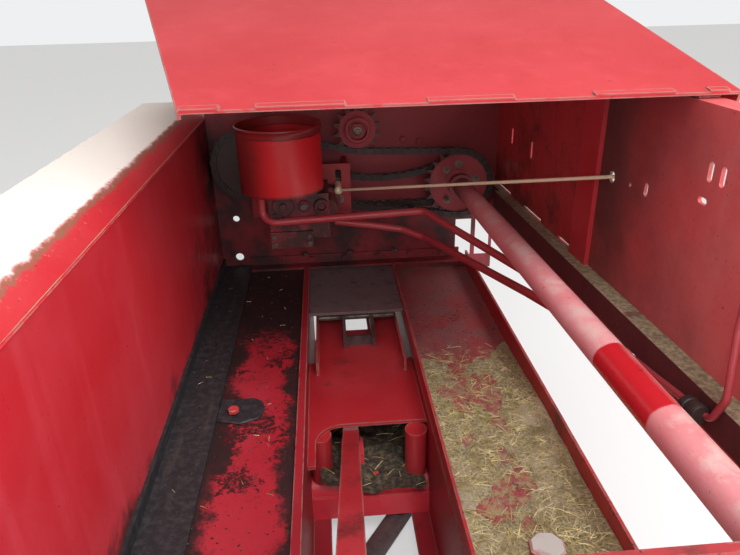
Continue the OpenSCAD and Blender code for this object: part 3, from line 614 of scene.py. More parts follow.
def make_hay_bed():
    g, place = new_material("Crop dust and chaff")
    fine, clump = g.noise(place, 260.0, 8.0, 0.8), g.noise(place, 22.0, 6.0, 0.65)
    colour = g.mix(g.step(fine, 0.34, 0.64), tone(98, 86, 60), tone(206, 192, 152))
    colour = g.mix(g.times(g.step(clump, 0.5, 0.68), 0.7), colour, tone(172, 164, 108))
    damp = g.step(g.noise(place, 34.0, 8.0, 0.75, 0.5), 0.52, 0.66, 0.0, 0.6)
    colour = g.mix(damp, colour, tone(122, 112, 76))
    grey = g.times(g.step(g.noise(place, 9.0, 4.0), 0.5, 0.65), 0.5)
    colour = g.mix(grey, colour, tone(206, 192, 172))
    close_material(g, colour, 0.95, g.plus(fine, clump), 0.004, strength=0.8)


def make_rubber():
    g, place = new_material("Worn black strip")
    fine, drag = g.noise(place, 90.0, 7.0, 0.7), g.stretched(place, (60.0, 4.0, 60.0))
    colour = g.mix(g.step(fine, 0.4, 0.75), tone(32, 31, 34), tone(60, 57, 61))
    colour = g.mix(g.times(g.step(drag, 0.55, 0.75), 0.5), colour, tone(78, 69, 60))
    close_material(g, colour, 0.6, g.plus(fine, drag), 0.0012)


def make_rail_dust():
    g, place = new_material("Dust on the rail")
    fine = g.noise(place, 150.0, 8.0, 0.75)
    dust = g.mix(g.step(fine, 0.35, 0.68), tone(112, 98, 76), tone(176, 160, 130))
    red = g.mix(g.noise(place, 30.0), tone(84, 22, 28), tone(110, 40, 44))
    bare = g.step(g.noise(place, 20.0, 6.0), 0.62, 0.7)
    cover = g.times(g.step(g.up(), 0.5, 0.9), g.minus(1.0, g.times(bare, 0.7)))
    close_material(g, g.mix(cover, red, dust), 0.9, fine, 0.002, strength=0.7)


def make_finishes():
    Made.groups.update(
        fade=make_fade_group(), dents=make_dent_group(),
        dust=cover_group("Field dust", "Dust", 0.92, dust_mask, Dust=DUST, Amount=0.5, Film=0.1, Scale=14.0),
        grime=cover_group("Oily grime", "Grime", 0.5, grime_mask, Grime=GRIME, Amount=0.3, Specks=0.2, Scale=9.0,
                          Where=1.0),
        chips=cover_group("Chipped edges", "Bare", 0.55, chip_mask, Bare=BARE, Amount=0.5, Radius=0.003))
    for name, (*columns, own) in PAINTS.items():
        paint(name, *columns, **own)
    for name, (*columns, own) in STEELS.items():
        steel(name, *columns, **own)
    for name, (rough, sizes, limits, dark, light, relief) in SPECKLED.items():
        g, place = new_material(name)
        specks = g.noise(place, *sizes)
        close_material(g, g.mix(g.step(specks, *limits), tone(*dark), tone(*light)), rough,
                       specks if relief else None, relief, strength=0.8)
    make_hay_bed()
    make_rubber()
    make_rail_dust()


# Geometry Nodes

def grow(name, host_mesh, tree, values, body="frame", smooth=True):
    """Runs a tree on a host mesh, with its inputs given by name, and keeps the result as a plain piece."""
    host = add_object(name + "_host", host_mesh)
    modifier = host.modifiers.new("Grow", "NODES")
    modifier.node_group = Made.trees[tree]
    for item in modifier.node_group.interface.items_tree:
        if item.item_type == "SOCKET" and item.in_out == "INPUT" and item.name in values:
            modifier[item.identifier] = values[item.name]
    evaluated = host.evaluated_get(bpy.context.evaluated_depsgraph_get())
    mesh = bpy.data.meshes.new_from_object(evaluated)
    mesh.name = name
    bpy.data.objects.remove(host)
    if not mesh.polygons:
        raise RuntimeError(f"{name} came out empty")
    return new_piece(name, mesh, body, smooth)


def point_mesh(name, places, turns, kinds=None):
    """A mesh of loose points in metres, with the turn and kind of what stands on each."""
    mesh = bpy.data.meshes.new(name)
    mesh.from_pydata([tuple(p) for p in places], [], [])
    turn = mesh.attributes.new("turn", "FLOAT_VECTOR", "POINT")
    turn.data.foreach_set("vector", [v for t in turns for v in t])
    kind = mesh.attributes.new("kind", "INT", "POINT")
    kind.data.foreach_set("value", kinds or [0] * len(places))
    return mesh


def end_tree(g, given, shape):
    """Makes the instances real and sets their finish, as every tree ends."""
    solid = g.put("GeometryNodeRealizeInstances", {0: shape}).outputs[0]
    return g.give(Shape=g.put("GeometryNodeSetMaterial", {
        "Geometry": solid, "Material": given["Finish"]}).outputs[0])


def make_placer():
    """Two shapes in turn on the points of a mesh: bolts in a pattern, or the links of a chain."""
    g, given = named_group("Place on points", "GeometryNodeTree", {
        "Points": "shape", "First Shape": "object", "Second Shape": "object", "Finish": "material"},
        {"Shape": "shape"})
    turn, kind = (g.put("GeometryNodeInputNamedAttribute", {"Name": name}, data_type=sort).outputs[0]
                  for name, sort in (("turn", "FLOAT_VECTOR"), ("kind", "INT")))
    rotation = g.put("FunctionNodeEulerToRotation", {0: turn}).outputs[0]
    joined = g.put("GeometryNodeJoinGeometry")
    for index, label in enumerate(("First Shape", "Second Shape")):
        shape = g.put("GeometryNodeObjectInfo", {"Object": given[label]}).outputs["Geometry"]
        chosen = g.put("FunctionNodeCompare", {2: kind, 3: index}, data_type="INT", operation="EQUAL").outputs[0]
        placed = g.put("GeometryNodeInstanceOnPoints", {
            "Points": given["Points"], "Selection": chosen, "Instance": shape, "Rotation": rotation})
        g.tree.links.new(placed.outputs[0], joined.inputs[0])
    return end_tree(g, given, joined.outputs[0])


def make_scatter():
    """One small shape strewn over a surface, lying at random turns and tilts."""
    g, given = named_group("Strew", "GeometryNodeTree", {
        "Surface": "shape", "Piece": "object", "Density": 1000.0, "Seed": 1, "Smallest": 0.6, "Largest": 1.4,
        "Tilt": 0.25, "Finish": "material"}, {"Shape": "shape"})

    def chance(low, high, seed):
        return g.put("FunctionNodeRandomValue", {2: low, 3: high, "Seed": seed}).outputs[1]

    spots = g.put("GeometryNodeDistributePointsOnFaces", {
        "Mesh": given["Surface"], "Density": given["Density"], "Seed": given["Seed"]})
    shape = g.put("GeometryNodeObjectInfo", {"Object": given["Piece"]}).outputs["Geometry"]
    tilt_low = g.times(given["Tilt"], -1.0)
    turn = g.put("ShaderNodeCombineXYZ", {
        0: chance(tilt_low, given["Tilt"], 11), 1: chance(tilt_low, given["Tilt"], 12),
        2: chance(0.0, math.tau, 13)}).outputs[0]
    rotation = g.put("FunctionNodeEulerToRotation", {0: turn}).outputs[0]
    size = chance(given["Smallest"], given["Largest"], 14)
    return end_tree(g, given, g.put("GeometryNodeInstanceOnPoints", {
        "Points": spots.outputs["Points"], "Instance": shape, "Rotation": rotation, "Scale": size}).outputs[0])


def make_piper():
    """A round bar or tube along a line of points, with rounded bends."""
    g, given = named_group("Bent bar", "GeometryNodeTree", {
        "Line": "shape", "Radius": 0.006, "Bend": 0.02, "Sides": 20, "Finish": "material"}, {"Shape": "shape"})
    curve = g.put("GeometryNodeMeshToCurve", {0: given["Line"]}).outputs[0]
    rounded = g.put("GeometryNodeFilletCurve", {
        "Curve": curve, "Radius": given["Bend"], "Count": 8, "Limit Radius": True}, mode="POLY")
    circle = g.put("GeometryNodeCurvePrimitiveCircle", {"Resolution": given["Sides"], "Radius": given["Radius"]})
    return end_tree(g, given, g.put("GeometryNodeCurveToMesh", {
        "Curve": rounded.outputs[0], "Profile Curve": circle.outputs[0], "Fill Caps": True}).outputs[0])


def grow_from(name, host_mesh, tree, shapes, values, body="frame", smooth=True):
    """Grows a piece from small shapes that a tree places, which are out of the scene's sight and then removed."""
    helpers = {label: add_object(mesh.name, mesh) for label, mesh in shapes.items()}
    for helper in helpers.values():
        helper.hide_render = True
    grown = grow(name, host_mesh, tree, {**helpers, **values}, body, smooth)
    for helper in helpers.values():
        bpy.data.objects.remove(helper)
    return grown


def strew(name, surface, piece, finish, density, seed, smallest, largest, tilt):
    return grow_from(name, surface, "scatter", {"Piece": piece}, {
        "Density": density, "Seed": seed, "Smallest": smallest, "Largest": largest, "Tilt": tilt,
        "Finish": Made.finishes[finish]}, smooth=False)


def place_shapes(name, points, first, second, finish, body="frame"):
    return grow_from(name, points, "placer", {"First Shape": first, "Second Shape": second}, {
        "Finish": Made.finishes[finish]}, body)


def bend_bar(name, points, radius, bend=18.0, sides=20):
    mesh = bpy.data.meshes.new(name)
    mesh.from_pydata([tuple(Vector(p) * MM) for p in points], [(i, i + 1) for i in range(len(points) - 1)], [])
    return grow(name, mesh, "piper", {
        "Radius": radius * MM, "Bend": bend * MM, "Sides": sides, "Finish": Made.finishes["Line paint"]})


# Chains. A wheel is (x, z, pitch radius, side of the chain, sag of the run after it).

def pitch_radius(teeth):
    return PITCH / (2 * math.sin(math.pi / teeth))


FRONT_WHEELS = [(*DRIVEN, pitch_radius(22), 1, 0), (*SHAFT, pitch_radius(22), 1, 0),
                (*IDLER, pitch_radius(14), -1, 0)]
REAR_WHEELS = [(*PUMP, pitch_radius(12), 1, 0), (*SHAFT, pitch_radius(15), 1, REAR_SAG)]


def run_heading(a, b):
    dx, dz = b[0] - a[0], b[1] - a[1]
    return math.atan2(dz, dx) - math.asin((b[3] * b[2] - a[3] * a[2]) / math.hypot(dx, dz))


def rim_point(wheel, heading):
    x, z, radius, side = wheel[:4]
    return Vector((x + side * radius * math.sin(heading), z - side * radius * math.cos(heading)))


def chain_points(wheels, arc_steps=24, run_steps=16):
    """The chain's pitch line: an arc on each wheel, then the run to the next with its sag."""
    points = []
    for i, wheel in enumerate(wheels):
        after = wheels[(i + 1) % len(wheels)]
        start, end = run_heading(wheels[i - 1], wheel), run_heading(wheel, after)
        turn = wheel[3] * ((wheel[3] * (end - start)) % math.tau)
        points += [rim_point(wheel, start + turn * k / arc_steps) for k in range(arc_steps + 1)]
        p, q = rim_point(wheel, end), rim_point(after, end)
        for k in range(1, run_steps):
            t = k / run_steps
            points.append(p + (q - p) * t + Vector((0, -4 * wheel[4] * t * (1 - t))))
    return points


def even_pins(points):
    """Pins at even steps, an even number of them, so that inner and outer links take turns."""
    lengths = [(points[(i + 1) % len(points)] - p).length for i, p in enumerate(points)]
    total = sum(lengths)
    count = 2 * round(total / (2 * PITCH))
    pins, i, walked = [], 0, 0.0
    for k in range(count):
        wanted = total * k / count
        while walked + lengths[i] < wanted:
            walked += lengths[i]
            i += 1
        t = (wanted - walked) / lengths[i]
        pins.append(points[i] + (points[(i + 1) % len(points)] - points[i]) * t)
    return pins


def make_link(name, outer):
    """One link, lying along X in the plane of X and Z. An outer link has the pins' ends."""
    shape = bmesh.new()
    height = LINK_H * (0.87 if outer else 1.0)
    inner_face = CHAIN_GAP / 2 + (LINK_T if outer else 0.0)
    outline, half, steps = [], PITCH / 2, 6
    for end, first, waist in ((half, 75, -0.72), (-half, 255, 0.72)):
        for k in range(steps + 1):
            angle = math.radians(first - 150 * k / steps)
            outline.append((end + height * math.cos(angle), height * math.sin(angle)))
        outline.append((0.0, height * waist))
    for side in (-1, 1):
        low, high = sorted((side * inner_face, side * (inner_face + LINK_T - 0.15)))
        add_prism(shape, outline[::-1], low, high, UPRIGHT)
    root, reach = CHAIN_GAP / 2 + 0.3, CHAIN_GAP / 2 + 2 * LINK_T + 0.9
    for x in (-half, half) if outer else ():
        for side in (-1, 1):
            add_turned(shape, [(0, side * root), (3.0, side * root), (3.0, side * (reach - 0.7)),
                               (2.4, side * reach), (0, side * reach)], Matrix.Translation((x, 0, 0)) @ UPRIGHT, 10)
    return to_mesh(name, shape)


def make_roller(name):
    shape = bmesh.new()
    half = CHAIN_GAP / 2 - 0.2
    add_turned(shape, [(0, -half), (ROLLER_R, -half), (ROLLER_R, half), (0, half)], UPRIGHT, 14)
    return to_mesh(name, shape)


def build_chain(name, wheels, y, node):
    """The links of one chain, and rollers where it runs free of its wheels."""
    pins = even_pins(chain_points(wheels))
    places, turns = [], []
    for i, pin in enumerate(pins):
        after = pins[(i + 1) % len(pins)]
        middle = (pin + after) / 2
        angle = math.atan2(after.y - pin.y, after.x - pin.x)
        places.append(lean((middle.x, y, middle.y)) * MM)
        turns.append(tuple((LEANED @ Matrix.Rotation(-angle, 3, "Y")).to_euler()))
    kinds = [i % 2 for i in range(len(pins))]
    links = place_shapes(name, point_mesh(name, places, turns, kinds), make_link("inner_link", False),
                         make_link("outer_link", True), "Chain steel")
    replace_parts(links, node)
    clear = [pin for pin in pins if min((pin - Vector((w[0], w[1]))).length - w[2] for w in wheels) > -0.5]
    spots = [lean((pin.x, y, pin.y)) * MM for pin in clear]
    roller = make_roller("roller")
    place_shapes(name + "_rollers", point_mesh(name, spots, [tuple(LEANED.to_euler())] * len(spots)), roller,
                 roller, "Roller steel")


# Bolts

def hex_bolt(across, height, washer=0.0, end=0.0):
    """A bolt head standing on Z, with a chamfered top, and a washer and a shank's end if given."""
    shape = bmesh.new()
    base = 0.0
    if washer:
        add_turned(shape, [(0, 0), (washer, 0), (washer, 1.6), (0, 1.6)], sides=20)
        base = 1.55
    radius, top = across / math.sqrt(3), base + height
    add_prism(shape, ring_of(6, radius), base, base + height * 0.85)
    add_turned(shape, [(0, base + height * 0.8), (radius * 0.97, base + height * 0.8), (radius * 0.8, top),
                       (0, top)], sides=18)
    if end:
        add_turned(shape, [(0, top - 1), (across * 0.3, top - 1), (across * 0.3, top + end - 1),
                           (across * 0.24, top + end), (0, top + end)], sides=14)
    return to_mesh("bolt_head", shape)


def bolts(name, spots, direction, sizes, finish, body="frame", leaned=False):
    """Bolt heads at points, all facing one way. The sizes are those of hex_bolt.

    How each head is turned is drawn by the piece's name without its number.
    """
    rng = Random(name.partition(".")[0])
    turn = facing(direction)
    if leaned:
        turn = LEANED @ turn
    places = [(lean(p) if leaned else Vector(p)) * MM for p in spots]
    turns = [tuple((turn @ Matrix.Rotation(rng.uniform(0, 1.04), 3, "Z")).to_euler()) for _ in spots]
    head = hex_bolt(*sizes)
    place_shapes(name, point_mesh(name, places, turns), head, head, finish, body)


# Dust and hay

def bed_surface(name, x0, x1, y0, y1, columns, rows, height):
    """A grid over a rectangle; height(x, y) gives Z."""
    verts = [((x0 + (x1 - x0) * i / columns), (y0 + (y1 - y0) * j / rows)) for j in range(rows + 1)
             for i in range(columns + 1)]
    mesh = bpy.data.meshes.new(name)
    wide = columns + 1
    faces = [(j * wide + i, j * wide + i + 1, (j + 1) * wide + i + 1, (j + 1) * wide + i)
             for j in range(rows) for i in range(columns)]
    mesh.from_pydata([(x * MM, y * MM, height(x, y) * MM) for x, y in verts], [], faces)
    return mesh


def floor_surface(name, x0, x1, y1, lift):
    """The floor plate from the front to y1, raised over the black strip."""
    return bed_surface(name, x0, x1, -1070, y1, 4, 20,
                       lambda x, y: FLOOR_Z + (STRIP_LIFT if x < STRIP_EDGE_X else lift))


def straw_mesh(name, length, width, bow):
    """One stalk: a thin three-sided strip, slightly bowed."""
    shape = bmesh.new()
    rings = []
    for k in range(4):
        t = k / 3 - 0.5
        z = bow * (1 - 4 * t * t) + width * 0.5
        rings.append([shape.verts.new((t * length, y, z + up)) for y, up in ring_of(3, width * 0.5)])
    for a, b in zip(rings, rings[1:]):
        for k in range(3):
            shape.faces.new((a[k], a[(k + 1) % 3], b[(k + 1) % 3], b[k]))
    shape.faces.new(rings[0][::-1])
    shape.faces.new(rings[-1])
    return to_mesh(name, shape)


def crumb_mesh(name, size, seed):
    """One crumb of dirt."""
    rng = Random(seed)
    shape = bmesh.new()
    bmesh.ops.create_icosphere(shape, subdivisions=1, radius=size / 2)
    for vert in shape.verts:
        vert.co *= rng.uniform(0.6, 1.3)
        vert.co.y *= 0.65
        vert.co.z *= 0.5
    return to_mesh(name, shape)


def bed_height(x, y):
    """Height of the crop dust in the tray: banked at both sides, thin at the far end, with bare spots."""
    fill = min(1.0, max(0.0, (-310 - y) / 250))
    right = max(0.0, (x - 175) / 70)
    left = max(0.0, (100 - x) / 30) * 0.5
    ragged = noise.fractal(Vector((x / 60, y / 60, 0.3)), 1.0, 2.1, 5) * (1.6 + 1.4 * fill)
    patch = noise.fractal(Vector((x / 52 + 7, y / 95, 2.0)), 1.0, 2.0, 3)
    bare = max(0.0, patch + 0.22) * math.exp(-((x - 150) / 36) ** 2) * 20
    level = fill * (3.4 + 9 * right * right + 3 * left) + ragged - bare - (1 - fill) * 2.4
    return TRAY_TOP + max(-2.0, level)


def straw_height(x, y):
    """Height that straw lies at: on the crop dust, or on the tray where it is bare."""
    return max(bed_height(x, y), TRAY_TOP) + 0.9


def hollow_height(x, y):
    """Height of the packed dirt between the beams, banked up against the left beam."""
    lumps = noise.fractal(Vector((x / 34, y / 34, 4.0)), 1.0, 2.2, 5)
    return -292 + 9 * lumps + 26 * math.exp(-((x + 100) / 34) ** 2)


def thin_out(surface, start, end):
    """Takes faces away at random from start to the far end, and most of those over the bare spots."""
    rng = Random(4)
    shape = bmesh.new()
    shape.from_mesh(surface)
    gone = []
    for face in shape.faces:
        middle = face.calc_center_median() / MM
        chance = (middle.y - start) / (end - start)
        if middle.z < TRAY_TOP + 0.95:
            chance = max(chance, 0.7)
        if rng.random() < chance:
            gone.append(face)
    bmesh.ops.delete(shape, geom=gone, context="FACES")
    shape.to_mesh(surface)
    shape.free()
    return surface


def slab(surface, depth):
    """Closes a grid surface downwards by a depth."""
    shape = bmesh.new()
    shape.from_mesh(surface)
    grown = bmesh.ops.extrude_face_region(shape, geom=shape.faces[:])
    under = [v for v in grown["geom"] if isinstance(v, bmesh.types.BMVert)]
    bmesh.ops.translate(shape, vec=(0, 0, -depth * MM), verts=under)
    bmesh.ops.recalc_face_normals(shape, faces=shape.faces)
    shape.to_mesh(surface)
    shape.free()
    return surface


# Sizes and colours that a user would change

class DRIVEBAY_finish_settings(bpy.types.PropertyGroup):
    paint: bpy.props.FloatVectorProperty(
        name="Paint", description="Colour of the paint inside the bay", subtype="COLOR", size=4, min=0, max=1,
        default=PAINT)
    dust: bpy.props.FloatVectorProperty(
        name="Dust", description="Colour of the dust on what faces up", subtype="COLOR", size=4, min=0, max=1,
        default=DUST)


class DRIVEBAY_hay_settings(bpy.types.PropertyGroup):
    density: bpy.props.FloatProperty(
        name="Straw density", description="Stalks on each square metre of the tray's bed", default=26000.0, min=0)
    length: bpy.props.FloatProperty(
        name="Straw length", description="Length of one stalk", subtype="DISTANCE", default=0.018, min=0.005)


class DRIVEBAY_bolt_settings(bpy.types.PropertyGroup):
    across: bpy.props.FloatProperty(
        name="Width across flats", description="Width of the common bolt head", subtype="DISTANCE",
        default=0.013, min=0.005)


class DRIVEBAY_stage_settings(bpy.types.PropertyGroup):
    floor_height: bpy.props.FloatProperty(
        name="Floor height", description="Height of the stage's floor", subtype="DISTANCE", default=-0.405)
    light: bpy.props.FloatProperty(
        name="Light", description="Strength of the even light from all sides", default=0.55, min=0)


class DRIVEBAY_OT_finishes(bpy.types.Operator):
    """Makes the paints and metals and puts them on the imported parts"""
    bl_idname = "drivebay.finishes"
    bl_label = "Paint and metal"

    def execute(self, context):
        tones = context.scene.drivebay_finish
        Made.paint, Made.dust = tuple(tones.paint), tuple(tones.dust)
        make_finishes()
        for finish, names in NODE_FINISH.items():
            for name in names:
                mesh = NODES[name].data
                mesh.materials.clear()
                mesh.materials.append(Made.finishes[finish])
        Made.trees.update(placer=make_placer(), scatter=make_scatter(), piper=make_piper())
        return {"FINISHED"}


class DRIVEBAY_OT_chains(bpy.types.Operator):
    """Builds both roller chains link by link"""
    bl_idname = "drivebay.chains"
    bl_label = "Chains"

    def execute(self, context):
        build_chain("front_chain_links", FRONT_WHEELS, FRONT_CHAIN_Y, "front_chain")
        build_chain("rear_chain_links", REAR_WHEELS, REAR_CHAIN_Y, "rear_chain")
        return {"FINISHED"}


class DRIVEBAY_OT_lines(bpy.types.Operator):
    """Builds the bent steel lines and their fitting"""
    bl_idname = "drivebay.lines"
    bl_label = "Steel lines"

    def execute(self, context):
        pressure = bend_bar("pressure_pipe", [
            (-187, -188, 60), (-187, -188, 18), (-167, -204, 12), (115, -204, 22), (270, -487, -15),
            (285.5, -487, -15)], 6.8)
        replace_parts(pressure, "pressure_line")
        back = bend_bar("return_pipe", [
            (-52, -144, -12), (21, -146, -23), (80, -152, -32), (122, -180, -41), (232, -480, -22),
            (258, -600, -6)], 6.8)
        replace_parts(back, "return_line")
        x = 275.7
        bend_bar("thin_pipe", [
            (256, -590, -7.5), (x, -698, 7), (x, -775, 20), (x, -870, 37), (x + 4, -878, 64), (288, -860, 125),
            (293, -852, 186), (303.5, -852, 186)], 3.6, 10.0, 14)
        shape = bmesh.new()
        lie = Matrix.Translation((x - 4.5, -850, 34)) @ Matrix.Rotation(math.radians(80), 4, "X")
        half = [(9, 3), (10, 4), (10, 11), (8.6, 13), (0, 13)]
        add_turned(shape, [(r, -h) for r, h in half[::-1]] + half, lie, 20)
        shape_piece("line_clip", shape, "Black fitting")
        return {"FINISHED"}


class DRIVEBAY_OT_bolts(bpy.types.Operator):
    """Sets bolts, nuts and screws"""
    bl_idname = "drivebay.bolts"
    bl_label = "Bolts"

    def execute(self, context):
        common = (context.scene.drivebay_bolts.across / MM, 6)
        circle = 34
        for name, (x, z), y in (("rear", SHAFT, -13), ("knotter", DRIVEN, -13), ("front", SHAFT, -1098)):
            rise = (FRONT_CHAIN_Y - y) * math.tan(RISE)
            spots = [(x + circle * math.cos(a), y, z + circle * math.sin(a) + rise) for a in (0.6, 2.7, 4.8)]
            bolts(f"{name}_bearing_bolts", spots, FORWARD, common, "Worn steel")
        bolts("bulkhead_bolts", [(101, -5, 115), (135, -5, 110)], FORWARD, common, "Bulkhead paint")
        bolts("angle_bolts", [(x, -35, -125) for x in (-120, -21, 77)], UPWARD, common, "Oily steel")
        bolts("bracket_bolts", [(-42, -84, 14)], FORWARD, (15, 7, 11), "Worn steel")
        bolts("boss_nut.002", [(BOSS[0], -187.5, BOSS[1])], FORWARD, (13, 6), "Oily steel")
        bolts("pump_screws", [(x, -188, z) for x in (-168, -102) for z in (-38, -22)], FORWARD, (10, 5),
              "Oily steel")
        bolts("sprocket_bolts", [(207, -71, 73), (244, -71, 40), (186, -71, -2), (183, -71, 62)], FORWARD,
              (10, 5, 8, 4), "Worn steel", "drive", leaned=True)
        bolts("idler_bolt", [(IDLER[0], -77.5, IDLER[1])], FORWARD, (17, 8, 0, 6), "Worn steel",
              leaned=True)
        shape = bmesh.new()
        add_turned(shape, [(0, 0), (21, 0), (21, 12), (18.5, 15), (0, 15)],
                   Matrix.Translation((163, -815, TRAY_TOP)) @ Matrix.Rotation(0.25, 4, "Z"), 8)
        shape_piece("tray_bolt", shape, "Rubbed bolt")
        bolts("floor_bolt", [(-216, -553, -152)], UPWARD, (14, 6), "Bay paint")
        return {"FINISHED"}


class DRIVEBAY_OT_fittings(bpy.types.Operator):
    """Adds the can's rim, the idler's cup, the pump's bosses and the floor lug"""
    bl_idname = "drivebay.fittings"
    bl_label = "Small fittings"

    def execute(self, context):
        shape = bmesh.new()
        add_turned(shape, [(75.2, 180), (75.2, 186.5), (77.6, 187.4), (79.2, 186.2), (79.4, 184), (78.2, 182),
                           (77.3, 180.4), (77.25, 176), (77.25, 174)], Matrix.Translation((*CAN, 0)), 96)
        shape_piece("can_rim", shape, "Can paint")
        shape = bmesh.new()
        cup = Matrix.Translation(lean((IDLER[0], -69.5, IDLER[1]))) @ (LEANED @ facing(FORWARD)).to_4x4()
        add_turned(shape, [(23, 0), (26, 0), (26, 7), (23.5, 9), (20, 9), (18.5, 7), (18.5, 0)], cup, 32)
        shape_piece("idler_cup", shape, "Sprocket paint", "idler")
        shape = bmesh.new()
        for (x, z), profile in (
                (BOSS, [(0, 0), (11, 0), (11, 7), (9.5, 8.5), (0, 8.5)]),
                (RING, [(8, 0), (14.5, 0), (14.5, 8), (13, 10), (9, 10), (8, 8.5), (8, 0)]),
                (COVER, [(0, 0), (20, 0), (20, 4), (18.5, 5.5), (8, 5.5), (6.5, 9), (0, 9)])):
            add_turned(shape, profile, Matrix.Translation((x, PUMP_FACE_Y, z)) @ facing(FORWARD).to_4x4(), 28)
        shape_piece("pump_bosses", shape, "Pump paint")
        shape = bmesh.new()
        outline = [(STRIP_EDGE_X, -566), (STRIP_EDGE_X, -516), (-190, -515), (-177, -524), (-172, -545),
                   (-180, -566), (-205, -576)]
        add_prism(shape, outline, FLOOR_Z, FLOOR_Z + 4)
        lug = shape_piece("floor_lug", shape, "Worn black strip")
        lug.modifiers.new("Round", "BEVEL").width = 0.0015
        return {"FINISHED"}


class DRIVEBAY_OT_sheets(bpy.types.Operator):
    """Builds the ledge with its bent edge, and the wall and gussets under it"""
    bl_idname = "drivebay.sheets"
    bl_label = "Ledge"

    def execute(self, context):
        edge = [(-432, 200), (-327, 200), (-323, 198.4), (-303, 171.5), (-306.3, 169.4), (-325.5, 195.8),
                (-428, 196), (-428, 158), (-432, 158)]
        wall = [(-308, -164), (-304, -164), (-304, 174), (-308, 174)]
        gusset = [(-327, 195.5), (-427.5, 195.5), (-427.5, 175), (-308.5, 55), (-308.5, 171)]
        for name, node, finish, slot, outline, runs in (
                ("ledge_sheet", "left_ledge", "Ledge paint", "red_paint", edge, [(FRONT_Y, 40)]),
                ("wall_sheet", "left_wall", "Wall paint", "red_paint", wall, [(FRONT_Y, -5)]),
                ("gusset_plates", "ledge_gussets", "Deep red paint", "dark_red_paint", gusset,
                 [(y - 5, y) for y in (-1020, -700, -380, -60)])):
            shape = bmesh.new()
            for y0, y1 in runs:
                add_prism(shape, outline, -y1, -y0, UPRIGHT)
            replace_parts(shape_piece(name, shape, finish), node)
        return {"FINISHED"}


class DRIVEBAY_OT_hay(bpy.types.Operator):
    """Lays crop dust and straw in the tray, dirt between the beams and crumbs on the floor"""
    bl_idname = "drivebay.hay"
    bl_label = "Dust and hay"

    def execute(self, context):
        hay = context.scene.drivebay_hay
        bed = bed_surface("tray_bed", 76.2, 243.8, -1079, -40, 84, 420, bed_height)
        bed.materials.append(Made.finishes["Crop dust and chaff"])
        new_piece("tray_bed", bed)
        stalk = straw_mesh("stalk", hay.length / MM, 0.85, 0.8)
        ground = bed_surface("hay_ground", 80, 240, -1070, -350, 80, 360, straw_height)
        strew("tray_straw", thin_out(ground, -540, -350), stalk, "Straw", hay.density, 3, 0.35, 1.3, 0.12)
        lumps = bed_surface("packed_dirt", -96, 66, -575, -414, 54, 54, hollow_height)
        lumps.materials.append(Made.finishes["Packed dirt"])
        strew("hollow_straw", lumps, straw_mesh("hollow_stalk", 34, 1.2, 2), "Straw", 1500, 31, 0.4, 1.3, 0.3)
        new_piece("packed_dirt", slab(lumps, 10))
        strew("floor_crumbs", floor_surface("crumb_ground", -296, -128, -40, 0.4), crumb_mesh("crumb", 3.0, 5),
              "Dirt crumbs", 4200, 8, 0.2, 1.2, 0.5)
        strew("floor_straw", floor_surface("bits_ground", -298, -130, -60, 0.6), straw_mesh("bit", 9, 0.7, 0.3),
              "Straw", 260, 21, 0.3, 1.2, 0.1)
        return {"FINISHED"}


class DRIVEBAY_OT_stage(bpy.types.Operator):
    """Sets the camera, the floor and the light"""
    bl_idname = "drivebay.stage"
    bl_label = "Camera, floor and light"

    def execute(self, context):
        stage = context.scene.drivebay_stage
        set_camera()
        set_floor(stage.floor_height)
        set_light(stage.light)
        return {"FINISHED"}


class DRIVEBAY_PT_panel(bpy.types.Panel):
    bl_idname = "DRIVEBAY_PT_panel"
    bl_label = "Baler drive bay"
    bl_space_type = "VIEW_3D"
    bl_region_type = "UI"
    bl_category = "Baler"

    def draw(self, context):
        for name, group in SETTINGS.items():
            box = self.layout.box()
            for field in group.__annotations__:
                box.prop(getattr(context.scene, name), field)
        for step in STEPS:
            self.layout.operator(step.bl_idname)


# Stage

PHOTO_WIDTH = 740
FOCAL_PX = 620.0
SENSOR = 36
CAMERA_PLACE = (-0.061, -1.305, 0.400)
CAMERA_PITCH = math.radians(24.820929)
CAMERA_YAW = math.radians(3.732383)
CAMERA_TILT = -0.026
AIM = Vector((-0.1, -0.6, -0.1))

# Place, size and power
LAMPS = {"key": ((1.9, -2.3, 1.9), 1.5, 66), "top": ((0.4, -1.9, 2.1), 1.2, 46),
         "front": ((-0.4, -2.6, 1.0), 1.2, 12), "low": ((0.5, -2.4, 0.62), 0.8, 9)}


def set_camera():
    camera = add_object("camera", bpy.data.cameras.new("camera"))
    level = Vector((math.sin(CAMERA_YAW), math.cos(CAMERA_YAW), 0))
    right = Vector((math.cos(CAMERA_YAW), -math.sin(CAMERA_YAW), 0))
    ahead = math.cos(CAMERA_PITCH) * level - math.sin(CAMERA_PITCH) * Vector(UPWARD)
    up = math.sin(CAMERA_PITCH) * level + math.cos(CAMERA_PITCH) * Vector(UPWARD)
    h = Vector((1, CAMERA_TILT)).normalized()
    axes = Matrix((h.x * right + h.y * up, -h.y * right + h.x * up, -ahead)).transposed()
    camera.matrix_world = Matrix.Translation(CAMERA_PLACE) @ axes.to_4x4()
    camera.data.sensor_width = SENSOR
    camera.data.lens = FOCAL_PX / PHOTO_WIDTH * SENSOR
    camera.data.clip_start, camera.data.clip_end = 0.01, 100
    bpy.context.scene.camera = camera


